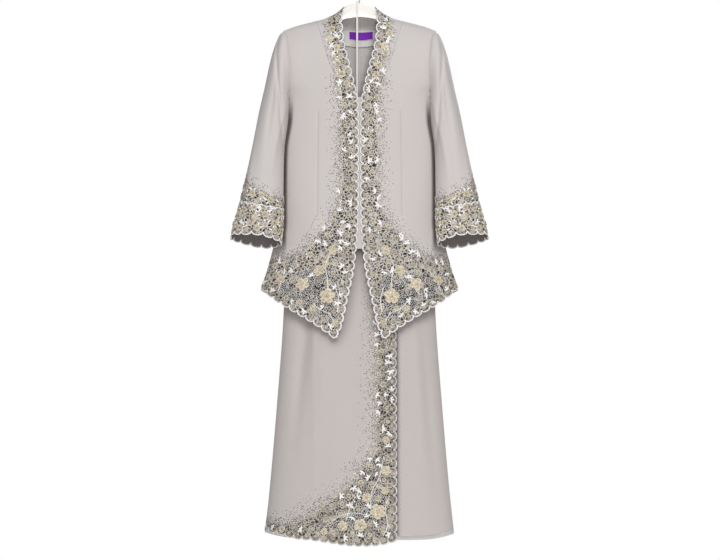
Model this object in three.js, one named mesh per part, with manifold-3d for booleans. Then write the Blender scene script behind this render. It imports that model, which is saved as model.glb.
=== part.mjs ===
// A kebaya set on its hanger: a fitted long-sleeved jacket with a lace collar band, lace
// fronts that end in two points and lace cuffs, hung over a wrapped ankle skirt whose front
// edge and lower corner carry the same lace.
//
// Millimetres, +Z up, the front faces -Y, +X is to the right of someone who looks at the
// front. The origin is the inside top of the hanger's hook, where the set hangs.
//
// Every cloth piece is a thin wall. Front and back walls are drawn as a depth in Y over the
// front view (x, z), so an outline, a lace edge or a cutwork gap is cut with an upright
// prism. The sleeves are tubes through slanted oval sections.

import * as THREE from 'three';
import { mergeVertices } from 'three/addons/utils/BufferGeometryUtils.js';
import Module from 'manifold-3d';

const wasm = await Module();
wasm.setup();

// ---------------------------------------------------------------- driving dimensions

const CLOTH = 1.4;              // wall of the plain cloth
const LACE = 2.2;               // wall of the corded lace
const SEAM = 0.3;               // gap between two pieces at a seam
const LAYER = 3.0;              // from the middle of one layer to the middle of the next

const SHOULDER_HALF = 191;      // centre front to the shoulder tip
const RIDGE_ROUND = 110;        // height over which the shoulder rounds out to full depth
const ROW_CROWDING = 1.6;       // how much closer the jacket's rows lie at the shoulder
const ARMHOLE_MIDDLE = -214;    // height of the middle of the armhole
const ARMHOLE_HALF = 73;        // half of its height
const ARMHOLE_DEPTH = 34;       // half of its depth, front to back

const SCALLOP_PITCH = 22.5;     // one scallop of the lace edge
const SCALLOP_DEPTH = 5;

const WAIST_TOP = -404;         // top edge of the skirt's waistband
const WAISTBAND = 30;           // its height
const SKIRT_EDGE = 92;          // front edge of the skirt's over panel
const SKIRT_WRAP = -60;         // hidden edge of its under panel

const HANGER_THICK = 12;
const HOOK_WIRE = 1.7;          // radius of the hook's wire
const HOOK_RADIUS = 22;         // inside radius of the hook
const HANGER_TOP = -69.5;
const RIBBON_WIDTH = 4.5;
const RIBBON_X = -6;            // the hanging ribbon passes beside the hook's stem

// The jacket at each height: half width, depth of the front and the back from the side
// seams, and how full the section is towards its sides (a smaller number is fuller).
const JACKET_COLUMNS = ['z', 'half', 'front', 'back', 'lens'];
const JACKET = [
  [-30, 191, 48, 48, 0.5],
  [-140, 191, 50, 50, 0.5],
  [-174, 181, 53, 52, 0.5],
  [-237, 175, 58, 54, 0.5],
  [-287, 175, 61, 54, 0.52],
  [-357, 177.5, 58, 51, 0.56],
  [-462, 177.5, 53, 47, 0.6],
  [-549, 184, 56, 50, 0.66],
  [-642, 204, 63, 57, 0.72],
  [-734, 229, 70, 63, 0.75],
  [-782, 245, 73, 66, 0.75],
  [-930, 262, 79, 72, 0.75],
];

// The shoulder and neck ridge: its height over each distance from the centre. Inside the
// neck opening it only shapes how the collar bows back round the neck.
const RIDGE_COLUMNS = ['x', 'z'];
const RIDGE = [
  [0, -35], [10, -39], [20, -50], [30, -66], [35, -74], [40, -79.5], [49, -88], [59, -96],
  [78, -105.5], [89, -110], [113, -116], [159, -128], [191, -139.5], [200, -143],
];

// The skirt at each height.
const SKIRT_COLUMNS = ['z', 'half', 'front', 'back', 'lens'];
const SKIRT = [
  [-400, 155, 36, 34, 0.6],
  [-480, 168, 41, 38, 0.6],
  [-574, 177, 45, 42, 0.6],
  [-700, 184, 51, 47, 0.6],
  [-837, 189, 57, 52, 0.6],
  [-922, 194, 61, 56, 0.58],
  [-1062, 205, 66, 61, 0.56],
  [-1182, 215, 70, 65, 0.54],
  [-1302, 226, 74, 69, 0.52],
  [-1435, 241, 78, 73, 0.52],
];

// Every table below is read by the names of its columns.
function rows(columns, table) {
  return table.map((row) => Object.fromEntries(columns.map((name, index) => [name, row[index]])));
}

// Soft folds: place and height of the deepest point, how far it drifts sideways for each
// millimetre down, half width, half length, and depth (minus is a trough).
const FOLD_COLUMNS = ['x', 'z', 'drift', 'width', 'length', 'depth'];
const SKIRT_FRONT_FOLDS = rows(FOLD_COLUMNS, [
  [-140, -990, 0.16, 17, 190, -6],
  [-106, -930, 0.05, 16, 160, 4],
  [135, -1000, -0.1, 18, 230, 5],
  [162, -1120, -0.1, 16, 220, -4],
  [-60, -1330, 0.1, 26, 160, 3],
]);
const SKIRT_BACK_FOLDS = rows(FOLD_COLUMNS, [
  [-120, -1050, 0.1, 22, 260, -5],
  [-70, -1180, 0.06, 22, 260, 4],
  [60, -980, -0.05, 24, 240, -4],
  [130, -1140, -0.1, 22, 260, 5],
]);
const JACKET_FRONT_FOLDS = rows(FOLD_COLUMNS, [
  [-150, -760, 0.28, 20, 130, 5],
  [-105, -720, 0.12, 20, 110, -4],
  [150, -760, -0.28, 20, 130, 5],
  [105, -720, -0.12, 20, 110, -4],
]);
const JACKET_BACK_FOLDS = rows(FOLD_COLUMNS, [
  [-120, -740, 0.2, 24, 140, 5],
  [-60, -720, 0.1, 22, 120, -4],
  [60, -720, -0.1, 22, 120, -4],
  [120, -740, -0.2, 24, 140, 5],
]);

// The sleeve's slanted oval sections, for the right-hand side: its outer and inner ends in
// the front view, the middle of its depth and half of its depth. The first lies just
// inside the armhole, and the last is below the cuff's scalloped edge, which is cut out.
const SLEEVE_COLUMNS = ['outerX', 'outerZ', 'innerX', 'innerZ', 'y', 'deep'];
const SLEEVE = rows(SLEEVE_COLUMNS, [
  [186, -143, 170, -284, 0, 40],
  [197, -147, 177, -291, 0, 45],
  [206, -164, 180.5, -299, 0, 50],
  [216, -191, 181.5, -312, 0, 54],
  [225, -226, 181.5, -334, -1, 56],
  [237, -283, 182, -366, -4, 55],
  [251, -345, 183, -410, -10, 52],
  [266, -422, 185.5, -464, -20, 47],
  [283, -503, 188, -527, -33, 40],
  [298, -569, 189, -587, -44, 33],
  [309, -607, 190, -624, -50, 29],
  [321, -660, 196, -682, -56, 25],
  [325, -690, 196, -712, -58, 25],
]);
const CUFF_SEAM_ROW = 9;

// Outlines in the front view, for the right-hand side, from the top down.
const NECK_EDGE = [
  [40, -76], [43.5, -93], [42, -126], [38.5, -166], [33, -190], [27, -211], [19.5, -240],
  [12, -272], [5, -306], [2, -350],
];
const OPENING_EDGE = [
  [12, -272], [5, -306], [2, -350], [2, -575], [4, -640], [7.5, -687], [14, -742],
  [24, -787], [34, -832], [45, -882], [61, -910],
];
const HEM_EDGE = [
  [61, -910], [95, -885], [139, -857], [182, -832], [219, -809], [245, -783], [262, -756],
];
const BAND_SEAM = [[110, -112], [98, -148], [85, -192], [71, -232], [52, -272]];
const LACE_INNER = [
  [52, -272], [46, -306], [44, -400], [44, -520], [49, -575], [62, -600], [86, -640],
  [120, -672], [148, -700], [184, -714], [226, -722], [262, -724],
];
const BACK_COLLAR_SEAM = [[110, -112], [85, -122], [50, -130], [0, -134]];
const BACK_COLLAR_TOP = [[40, -78], [20, -83], [0, -84.5]];
const BACK_HEM = [[0, -842], [90, -838], [170, -822], [225, -800], [262, -778]];

const CUFF_FRONT_EDGE = [[330, -648], [296, -650], [256, -649], [225, -657], [190, -672]];
const CUFF_BACK_EDGE = [[330, -658], [296, -671], [256, -681], [225, -684], [190, -676]];

const OVER_HEM = [
  [-250, -1384], [-235, -1388.5], [-161, -1407], [-115, -1411], [-34, -1423], [19, -1425],
  [60, -1421], [94, -1412],
];
const UNDER_HEM = [[-80, -1399], [104, -1399.5], [179, -1397.5], [204, -1392], [250, -1374]];
const SKIRT_BACK_HEM = [
  [-250, -1386], [-216, -1400], [-153, -1410], [0, -1414], [153, -1414], [216, -1404],
  [250, -1388],
];
const SKIRT_LACE_INNER = [
  [44, -430], [44, -800], [44, -1150], [34, -1196], [8, -1232], [-20, -1272], [-60, -1304],
  [-100, -1330], [-145, -1362], [-200, -1378], [-250, -1376],
];

// Cutwork: each rosette is a ring of gaps, given by its centre and the radius of the ring.
const GAP_SIZE = { across: 5.5, along: 8.5, sides: 5, inRosette: 5 };
const ROSETTE_COLUMNS = ['x', 'z', 'ring'];
const JACKET_ROSETTES = rows(ROSETTE_COLUMNS, [
  [58, -858, 11], [86, -828, 11], [122, -802, 11], [164, -788, 10], [58, -806, 10],
  [92, -776, 10],
]);
const SKIRT_ROSETTES = rows(ROSETTE_COLUMNS, [
  [66, -1374, 11], [62, -1322, 11], [28, -1352, 11], [-12, -1384, 11], [-62, -1380, 10],
]);
const CUFF_ROSETTES = rows(ROSETTE_COLUMNS, [[234, -630, 10], [282, -622, 10]]);

const COLOURS = {
  cloth: { color: 0xcbc6c3, roughness: 0.62, metalness: 0 },
  skirt: { color: 0xc1b9b6, roughness: 0.62, metalness: 0 },
  lace: { color: 0xb3a68f, roughness: 0.7, metalness: 0 },
  lining: { color: 0xd9d4d2, roughness: 0.6, metalness: 0 },
  label: { color: 0x64149a, roughness: 0.55, metalness: 0 },
  ribbon: { color: 0xe4dfd8, roughness: 0.45, metalness: 0 },
  hanger: { color: 0xe9e2d2, roughness: 0.4, metalness: 0 },
  wire: { color: 0xb49a62, roughness: 0.3, metalness: 1 },
};

// ---------------------------------------------------------------- tables and outlines

// A smooth reading of one column of a table against its first column.
function reader(table, columns, name) {
  const column = columns.indexOf(name);
  const rising = table[1][0] > table[0][0] ? 1 : -1;
  return (key) => {
    let row = 0;
    while (row < table.length - 2 && (key - table[row + 1][0]) * rising > 0) row += 1;
    const [before, start, end, after] = [row - 1, row, row + 1, row + 2].map(
      (index) => table[THREE.MathUtils.clamp(index, 0, table.length - 1)]);
    const span = end[0] - start[0];
    const f = THREE.MathUtils.clamp((key - start[0]) / span, 0, 1);
    const slopeStart = (end[column] - before[column]) / (end[0] - before[0]) * span;
    const slopeEnd = (after[column] - start[column]) / (after[0] - start[0]) * span;
    return (2 * f ** 3 - 3 * f ** 2 + 1) * start[column] + (f ** 3 - 2 * f ** 2 + f) * slopeStart
      + (3 * f ** 2 - 2 * f ** 3) * end[column] + (f ** 3 - f ** 2) * slopeEnd;
  };
}

const readers = (table, columns) => Object.fromEntries(
  columns.slice(1).map((name) => [name, reader(table, columns, name)]));

const jacket = readers(JACKET, JACKET_COLUMNS);
const skirt = readers(SKIRT, SKIRT_COLUMNS);
const ridgeHeight = readers(RIDGE, RIDGE_COLUMNS).z;

const curve = (points) => new THREE.SplineCurve(points.map(([x, z]) => new THREE.Vector2(x, z)));

// A smooth edge through a few points.
function smoothEdge(points, step = 24) {
  const path = curve(points);
  return path.getSpacedPoints(Math.max(2, Math.round(path.getLength() / step)));
}

// The same edge with scallops whose tips lie on it, and which bulge to one side (1 is left
// of the way it runs).
function scallopedEdge(points, side) {
  const path = curve(points);
  const count = Math.round(path.getLength() / SCALLOP_PITCH);
  const steps = [0, 0.3, 0.7];
  const edge = [];
  for (let scallop = 0; scallop < count; scallop += 1) {
    for (const step of steps) {
      const place = (scallop + step) / count;
      const along = path.getTangentAt(place);
      const bulge = SCALLOP_DEPTH * (4.8 * step * (1 - step) - 1) * side;
      edge.push(path.getPointAt(place).add(new THREE.Vector2(-along.y, along.x).multiplyScalar(bulge)));
    }
  }
  edge.push(path.getPointAt(1));
  return edge;
}

const backwards = (edge) => [...edge].reverse();
const mirrored = (edge, side) => edge.map(({ x, y }) => new THREE.Vector2(x * side, y));
const at = (x, z) => new THREE.Vector2(x, z);

// The same edge, moved to the left of the way it runs.
function beside(edge, distance) {
  return edge.map((point, index) => {
    const before = edge[Math.max(index - 1, 0)];
    const along = edge[Math.min(index + 1, edge.length - 1)].clone().sub(before).normalize();
    return at(point.x - along.y * distance, point.y + along.x * distance);
  });
}

// ---------------------------------------------------------------- solids

function solidOf(geometry) {
  const bare = geometry.clone();
  bare.deleteAttribute('normal');
  bare.deleteAttribute('uv');
  const welded = mergeVertices(bare, 1e-4);
  return new wasm.Manifold(new wasm.Mesh({
    numProp: 3,
    vertProperties: new Float32Array(welded.attributes.position.array),
    triVerts: new Uint32Array(welded.index.array),
  }));
}

// The largest body of a solid, as a geometry.
function geometryOf(solid) {
  const body = solid.decompose().sort((a, b) => b.volume() - a.volume())[0];
  const mesh = body.getMesh();
  const geometry = new THREE.BufferGeometry();
  geometry.setAttribute('position', new THREE.BufferAttribute(new Float32Array(mesh.vertProperties), 3));
  geometry.setIndex(new THREE.BufferAttribute(new Uint32Array(mesh.triVerts), 1));
  geometry.computeVertexNormals();
  return geometry;
}

// A closed wall between an outer and an inner grid of points; a round wall closes on itself.
function wallBetween(outer, inner, round) {
  const rows = outer.length;
  const columns = outer[0].length;
  const triangles = [];
  const point = (layer, row, column) => (layer * rows + row) * columns + (column % columns);
  const quad = (a, b, c, d) => triangles.push(a, b, c, a, c, d);
  const spans = round ? columns : columns - 1;
  for (let column = 0; column < spans; column += 1) {
    for (let row = 0; row < rows - 1; row += 1) {
      quad(point(0, row, column), point(0, row + 1, column),
        point(0, row + 1, column + 1), point(0, row, column + 1));
      quad(point(1, row, column), point(1, row, column + 1),
        point(1, row + 1, column + 1), point(1, row + 1, column));
    }
    quad(point(0, 0, column), point(0, 0, column + 1), point(1, 0, column + 1), point(1, 0, column));
    quad(point(0, rows - 1, column), point(1, rows - 1, column),
      point(1, rows - 1, column + 1), point(0, rows - 1, column + 1));
  }
  for (let row = 0; !round && row < rows - 1; row += 1) {
    quad(point(0, row, 0), point(1, row, 0), point(1, row + 1, 0), point(0, row + 1, 0));
    quad(point(0, row, columns - 1), point(0, row + 1, columns - 1),
      point(1, row + 1, columns - 1), point(1, row, columns - 1));
  }
  const points = [...outer.flat(), ...inner.flat()];
  if (signedVolume(points, triangles) < 0) triangles.reverse();
  const geometry = new THREE.BufferGeometry();
  geometry.setAttribute('position', new THREE.Float32BufferAttribute(
    points.flatMap((p) => [p.x, p.y, p.z]), 3));
  geometry.setIndex(triangles);
  return solidOf(geometry);
}

function signedVolume(points, triangles) {
  let volume = 0;
  for (let first = 0; first < triangles.length; first += 3) {
    const [a, b, c] = [0, 1, 2].map((corner) => points[triangles[first + corner]]);
    volume += a.dot(b.clone().cross(c)) / 6;
  }
  return volume;
}

// A wall on a surface given by a function of (s, t), centred on it.
function sheet(surface, thickness, columns, rows, sFrom = -1, sTo = 1, tFrom = 0, tTo = 1) {
  const small = 1e-3;
  const sides = [[], []];
  for (let row = 0; row <= rows; row += 1) {
    const t = THREE.MathUtils.lerp(tFrom, tTo, row / rows);
    sides.forEach((grid) => grid.push([]));
    for (let column = 0; column <= columns; column += 1) {
      const s = THREE.MathUtils.lerp(sFrom, sTo, column / columns);
      const across = surface(Math.min(s + small, 1), t).sub(surface(Math.max(s - small, -1), t));
      const down = surface(s, Math.min(t + small, 1)).sub(surface(s, Math.max(t - small, 0)));
      const normal = across.cross(down).normalize().multiplyScalar(thickness / 2);
      const middle = surface(s, t);
      sides[0][row].push(middle.clone().add(normal));
      sides[1][row].push(middle.clone().sub(normal));
    }
  }
  return wallBetween(sides[0], sides[1], false);
}

// An upright prism that runs through the whole set from front to back.
function prism(outline, yFrom = -300, yTo = 300) {
  const geometry = new THREE.ExtrudeGeometry(new THREE.Shape(outline), {
    depth: yTo - yFrom, bevelEnabled: false,
  });
  geometry.rotateX(Math.PI / 2);
  geometry.translate(0, yTo, 0);
  return solidOf(geometry);
}

function block(x0, x1, y0, y1, z0, z1) {
  const geometry = new THREE.BoxGeometry(x1 - x0, y1 - y0, z1 - z0);
  geometry.translate((x0 + x1) / 2, (y0 + y1) / 2, (z0 + z1) / 2);
  return solidOf(geometry);
}

const FRONT_HALF = block(-400, 400, -300, -SEAM / 2, -1600, 100);
const BACK_HALF = block(-400, 400, SEAM / 2, 300, -1600, 100);

// The gaps of each rosette in a table, as one cutter.
function cutwork(rosettes, side, yFrom, yTo) {
  const gaps = [];
  rosettes.forEach(({ x, z, ring }, rosette) => {
    for (let petal = 0; petal < GAP_SIZE.inRosette; petal += 1) {
      const turn = (petal / GAP_SIZE.inRosette) * 2 * Math.PI + rosette;
      const outline = [];
      for (let corner = 0; corner < GAP_SIZE.sides; corner += 1) {
        const angle = (corner / GAP_SIZE.sides) * 2 * Math.PI;
        outline.push(at(ring + GAP_SIZE.along / 2 * Math.cos(angle), GAP_SIZE.across / 2 * Math.sin(angle))
          .rotateAround(at(0, 0), turn).add(at(x, z)));
      }
      gaps.push(prism(mirrored(outline, side), yFrom, yTo));
    }
  });
  return wasm.Manifold.union(gaps);
}

// ---------------------------------------------------------------- surfaces

function foldDepth(folds, x, z) {
  return folds.reduce((sum, fold) => {
    const offset = (x - fold.x + fold.drift * (fold.z - z)) / fold.width;
    const along = (z - fold.z) / fold.length;
    return sum + fold.depth * Math.exp(-offset * offset - along * along);
  }, 0);
}

const sectionFullness = (u, lens) => (1 - Math.min(Math.abs(u), 1) ** 2.4) ** lens;

// The jacket's depth at a place in the front view. side is -1 for the front.
function jacketDepth(u, x, z, side) {
  const armholeReach = 1 - ((z - ARMHOLE_MIDDLE) / ARMHOLE_HALF) ** 2;
  const edge = armholeReach > 0 ? ARMHOLE_DEPTH * Math.sqrt(armholeReach) : 0;
  const full = side < 0 ? jacket.front(z) : jacket.back(z);
  const below = THREE.MathUtils.clamp((ridgeHeight(Math.abs(x)) - z) / RIDGE_ROUND, 0, 1);
  const rounding = Math.sqrt(1 - (1 - below) ** 2);
  const folds = side < 0 ? JACKET_FRONT_FOLDS : JACKET_BACK_FOLDS;
  const fullness = sectionFullness(u, jacket.lens(z));
  return (edge + (full - edge) * fullness + foldDepth(folds, x, z) * fullness) * rounding;
}

// The jacket's front or back: s runs across, t from the shoulder ridge down to a height.
function jacketSurface(side, bottom, inward = 0) {
  return (s, t) => {
    const u = Math.sin(s * Math.PI / 2);
    const top = ridgeHeight(Math.abs(u) * SHOULDER_HALF);
    const z = THREE.MathUtils.lerp(top, bottom, t ** ROW_CROWDING);
    const x = u * jacket.half(z);
    return new THREE.Vector3(x, side * Math.max(jacketDepth(u, x, z, side) - inward, 0), z);
  };
}

// The skirt's front or back, moved outwards or inwards by whole layers.
function skirtSurface(side, bottom, outward = 0) {
  const top = WAIST_TOP - WAISTBAND - SEAM;
  const folds = side < 0 ? SKIRT_FRONT_FOLDS : SKIRT_BACK_FOLDS;
  return (s, t) => {
    const u = Math.sin(s * Math.PI / 2);
    const z = THREE.MathUtils.lerp(top, bottom, t);
    const x = u * skirt.half(z);
    const fullness = sectionFullness(u, skirt.lens(z));
    const full = side < 0 ? skirt.front(z) : skirt.back(z);
    return new THREE.Vector3(x, side * (full + outward + foldDepth(folds, x, z)) * fullness, z);
  };
}

// A tube's ring of points on a sleeve section, grown or shrunk by half a wall.
function sleeveRing({ outerX, outerZ, innerX, innerZ, y, deep }, side, grow, from, to, segments) {
  const middle = at((outerX + innerX) / 2, (outerZ + innerZ) / 2);
  const arm = at(outerX, outerZ).sub(middle);
  const long = arm.length() + grow;
  arm.normalize();
  const ring = [];
  for (let step = 0; step <= segments; step += 1) {
    const angle = THREE.MathUtils.lerp(from, to, step / segments);
    const reach = Math.cos(angle) * long;
    ring.push(new THREE.Vector3(side * (middle.x + arm.x * reach),
      y + Math.sin(angle) * (deep + grow), middle.y + arm.y * reach));
  }
  return ring;
}

// A whole sleeve tube, or with half -1 or 1 its front or back half.
function sleeveWall(rows, side, thickness, half = 0) {
  const segments = half ? 9 : 16;
  const slack = half ? 0.006 : 0;
  const from = (half < 0 ? -Math.PI : 0) + slack;
  const to = (half ? from - slack + Math.PI : 2 * Math.PI) - slack;
  const grids = [thickness / 2, -thickness / 2].map((grow) => rows.map((row) => {
    const ring = sleeveRing(row, side, grow, from, to, segments);
    return half ? ring : ring.slice(0, -1);
  }));
  return wallBetween(grids[0], grids[1], !half);
}

// The space that a sleeve fills, with its seam's gap, as a closed solid.
function sleeveEnvelope(side) {
  const grow = CLOTH / 2 + SEAM;
  const rings = SLEEVE.slice(0, 6).map((row) => sleeveRing(row, side, grow, 0, 2 * Math.PI, 16).slice(0, -1));
  const core = rings.map((ring) => {
    const centre = ring.reduce((sum, p) => sum.add(p), new THREE.Vector3()).divideScalar(ring.length);
    return ring.map((p) => centre.clone().lerp(p, 0.02));
  });
  return wallBetween(rings, core, true);
}

// ---------------------------------------------------------------- pieces

const group = new THREE.Group();

function add(name, solid, look) {
  const mesh = new THREE.Mesh(geometryOf(solid), new THREE.MeshStandardMaterial(COLOURS[look]));
  mesh.name = name;
  group.add(mesh);
}

const sideName = (side) => (side < 0 ? 'left' : 'right');
const SIDES = [-1, 1];

// Regions of the jacket in the front view, right-hand side.
const neckEdge = scallopedEdge(NECK_EDGE.slice(0, 8), -1);
const openingEdge = scallopedEdge(OPENING_EDGE, -1);
const hemEdge = scallopedEdge(HEM_EDGE, -1);
const bandSeam = smoothEdge(BAND_SEAM);
const laceInner = smoothEdge(LACE_INNER);
const bandRegion = [...neckEdge.slice(0, -1), at(12, -272 + SEAM), at(52 - SEAM, -272 + SEAM),
  ...backwards(beside(bandSeam, -SEAM)).slice(1), at(110 - SEAM, -60), at(40, -60)];
const laceRegion = [...openingEdge, ...hemEdge.slice(1), ...backwards(beside(laceInner, -SEAM))];
const panelRegion = [...bandSeam, ...laceInner.slice(1), at(330, -724), at(330, -60), at(110, -60)];

function buildFronts() {
  const bottom = -930;
  const cloth = sheet(jacketSurface(-1, bottom), CLOTH, 18, 13).intersect(FRONT_HALF);
  const lace = sheet(jacketSurface(-1, bottom), LACE, 18, 13).intersect(FRONT_HALF);
  const band = sheet(jacketSurface(-1, bottom), LACE, 14, 5, -0.42, 0.42, 0, 0.43).intersect(FRONT_HALF);
  for (const side of SIDES) {
    const panel = cloth.intersect(prism(mirrored(panelRegion, side))).subtract(sleeveEnvelope(side));
    add(`front_${sideName(side)}`, panel, 'cloth');
    const border = lace.intersect(prism(mirrored(laceRegion, side)))
      .subtract(cutwork(JACKET_ROSETTES, side, -300, 0));
    add(`front_lace_${sideName(side)}`, border, 'lace');
    add(`collar_band_${sideName(side)}`, band.intersect(prism(mirrored(bandRegion, side))), 'lace');
  }
}

function buildPlacket() {
  const strip = sheet(jacketSurface(-1, -930, LAYER), CLOTH, 2, 8, -0.055, 0.055, 0.4, 0.86);
  const outline = [at(-12, -306), at(14, -306), at(14, -684), at(-12, -684)];
  add('front_placket', strip.intersect(prism(outline)), 'lining');
}

function buildBack() {
  const bottom = -860;
  const cloth = sheet(jacketSurface(1, bottom), CLOTH, 18, 9).intersect(BACK_HALF);
  const seam = smoothEdge(BACK_COLLAR_SEAM);
  const hem = smoothEdge(BACK_HEM);
  for (const side of SIDES) {
    const region = [...backwards(beside(seam, SEAM)).map(({ x, y }) => at(Math.max(x, SEAM / 2), y)),
      at(110, -60), at(330, -60), at(330, -778), ...backwards(hem).map(
        ({ x, y }) => at(Math.max(x, SEAM / 2), y))];
    const panel = cloth.intersect(prism(mirrored(region, side))).subtract(sleeveEnvelope(side));
    add(`back_${sideName(side)}`, panel, 'cloth');
  }
  const collar = sheet(jacketSurface(1, bottom), LACE, 20, 3, -0.42, 0.42, 0, 0.3).intersect(BACK_HALF);
  const top = smoothEdge(BACK_COLLAR_TOP, 8);
  const rightHalf = [at(0, -134), ...backwards(seam), at(110, -60), at(40, -60), ...top];
  const collarRegion = [...rightHalf.slice(1), ...backwards(mirrored(rightHalf.slice(1), -1))];
  add('collar_back', collar.intersect(prism(collarRegion)), 'lace');
}

function buildNeckInside() {
  const facing = sheet(jacketSurface(1, -860, 1.7 * LAYER), CLOTH, 10, 3, -0.24, 0.24, 0.17, 0.37);
  add('neck_facing', facing.intersect(prism([at(-66, -136), at(66, -136), at(60, -166),
    at(0, -178), at(-60, -166)])), 'lining');
  const label = sheet(jacketSurface(1, -860, 2.7 * LAYER), 1.0, 8, 3, -0.12, 0.14, 0.17, 0.37);
  add('neck_label', label.intersect(prism([at(-25, -140), at(33, -140), at(33, -158),
    at(4, -161), at(-25, -158)])), 'label');
}

function buildSleeves() {
  const tube = SLEEVE.slice(0, CUFF_SEAM_ROW + 1);
  const seam = SLEEVE[CUFF_SEAM_ROW];
  const cuff = [{ ...seam, outerZ: seam.outerZ - SEAM, innerZ: seam.innerZ - SEAM },
    ...SLEEVE.slice(CUFF_SEAM_ROW + 1)];
  const edges = [[-1, 'front', CUFF_FRONT_EDGE], [1, 'back', CUFF_BACK_EDGE]];
  for (const side of SIDES) {
    add(`sleeve_${sideName(side)}`, sleeveWall(tube, side, CLOTH), 'cloth');
    for (const [half, place, edge] of edges) {
      const region = [...scallopedEdge(edge, 1), at(150, -540), at(370, -540)];
      const lace = sleeveWall(cuff, side, LACE, half).intersect(prism(mirrored(region, side)))
        .subtract(cutwork(CUFF_ROSETTES, side, -200, 100));
      add(`cuff_lace_${sideName(side)}_${place}`, lace, 'lace');
    }
  }
}

function buildSkirt() {
  const bottom = -1435;
  const over = skirtSurface(-1, bottom, LAYER);
  const edge = scallopedEdge([[SKIRT_EDGE - 2, -434], [SKIRT_EDGE, -900], [SKIRT_EDGE + 2, -1412]], 1);
  const hem = scallopedEdge(OVER_HEM, -1);
  const inner = smoothEdge(SKIRT_LACE_INNER, 40);
  const panelRegionOver = [...inner, at(-300, -1376), at(-300, -430)];
  const laceRegionOver = [...edge, ...backwards(hem), ...backwards(beside(inner, SEAM))];
  add('skirt_over_panel', sheet(over, CLOTH, 18, 9).intersect(FRONT_HALF)
    .intersect(prism(panelRegionOver)), 'skirt');
  add('skirt_lace', sheet(over, LACE, 18, 9).intersect(FRONT_HALF).intersect(prism(laceRegionOver))
    .subtract(cutwork(SKIRT_ROSETTES, 1, -300, 0)), 'lace');

  const underRegion = [at(SKIRT_WRAP, -430), at(300, -430), at(300, -1374),
    ...backwards(smoothEdge(UNDER_HEM, 40)).map(({ x, y }) => at(Math.max(x, SKIRT_WRAP), y))];
  add('skirt_under_panel', sheet(skirtSurface(-1, bottom), CLOTH, 16, 9).intersect(FRONT_HALF)
    .intersect(prism(underRegion)), 'skirt');

  const backRegion = [...smoothEdge(SKIRT_BACK_HEM, 40), at(300, -1388), at(300, -430),
    at(-300, -430), at(-300, -1386)];
  add('skirt_back', sheet(skirtSurface(1, bottom), CLOTH, 18, 9).intersect(BACK_HALF)
    .intersect(prism(backRegion)), 'skirt');
}

function buildWaistband() {
  const segments = 24;
  const grids = [1.25, -1.25].map((grow) => [0, 1].map((row) => {
    const z = WAIST_TOP - row * WAISTBAND;
    const ring = [];
    for (let step = 0; step < segments; step += 1) {
      const angle = (step / segments) * 2 * Math.PI;
      const deep = Math.sin(angle) < 0 ? skirt.front(z) : skirt.back(z);
      ring.push(new THREE.Vector3(Math.cos(angle) * (skirt.half(z) + grow),
        Math.sign(Math.sin(angle)) * Math.abs(Math.sin(angle)) ** 1.2 * (deep + grow), z));
    }
    return ring;
  }));
  add('skirt_waistband', wallBetween(grids[0], grids[1], true), 'skirt');
}

// The ribbon that carries the skirt: up from the waistband's front, over the hanger's arch
// and down to the waistband's back.
function buildRibbon() {
  const clear = HANGER_THICK / 2 + 2;
  const foot = WAIST_TOP - 4;
  const route = [[-30, foot], [-clear, -112], [-clear, HANGER_TOP + 1], [-clear + 3, HANGER_TOP + 4],
    [clear - 3, HANGER_TOP + 4], [clear, HANGER_TOP + 1], [clear, -112], [28, foot]];
  const grids = [0.5, -0.5].map((grow) => route.map(([y, z]) => {
    const out = Math.sign(y) * grow;
    const up = Math.abs(y) < clear ? grow : 0;
    return [RIBBON_X - RIBBON_WIDTH / 2, RIBBON_X + RIBBON_WIDTH / 2].map(
      (x) => new THREE.Vector3(x, y + out, z + up));
  }));
  add('skirt_hanging_ribbon', wallBetween(grids[0], grids[1], false), 'ribbon');
}

function buildHanger() {
  const top = [[0, HANGER_TOP], [20, -72.5], [38, -81], [58, -103], [88, -118], [113, -123],
    [159, -135], [182, -144]];
  const low = [[184, -150], [178, -158], [159, -152], [113, -141], [88, -136], [58, -124],
    [38, -111], [0, -105]];
  const half = [...smoothEdge(top, 12), ...smoothEdge(low, 16)];
  const outline = [...half, ...backwards(mirrored(half, -1)).slice(1, -1)];
  const bevel = 2;
  const geometry = new THREE.ExtrudeGeometry(new THREE.Shape(outline), {
    depth: HANGER_THICK - 2 * bevel, bevelThickness: bevel, bevelSize: bevel,
    bevelOffset: -bevel, bevelSegments: 1,
  });
  geometry.rotateX(Math.PI / 2);
  geometry.translate(0, HANGER_THICK / 2 - bevel, 0);
  const bore = new THREE.CylinderGeometry(HOOK_WIRE + SEAM, HOOK_WIRE + SEAM, 40, 12);
  bore.rotateX(Math.PI / 2);
  bore.translate(0, 0, HANGER_TOP + 4);
  add('hanger_body', solidOf(geometry).subtract(solidOf(bore)), 'hanger');
}

// The hook: a straight stem, then a round bend open to the left.
function buildHook() {
  const bend = HOOK_RADIUS + HOOK_WIRE;
  const middle = HOOK_WIRE - bend;
  const path = new THREE.CurvePath();
  const arc = [];
  for (let angle = -40; angle <= 200; angle += 20) {
    const turn = THREE.MathUtils.degToRad(angle);
    arc.push(new THREE.Vector3(bend * Math.cos(turn), 0, middle + bend * Math.sin(turn)));
  }
  const stem = [[0, -14], [0, -5], [0, 4], [0, 12], [4, 21]].map(
    ([x, rise]) => new THREE.Vector3(x, 0, HANGER_TOP + rise));
  path.add(new THREE.CatmullRomCurve3([...stem, ...arc]));
  const section = new THREE.Shape().absarc(0, 0, HOOK_WIRE, 0, 2 * Math.PI);
  const geometry = new THREE.ExtrudeGeometry(section, {
    steps: 26, curveSegments: 4, extrudePath: path.curves[0],
  });
  add('hanger_hook', solidOf(geometry), 'wire');
}

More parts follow.
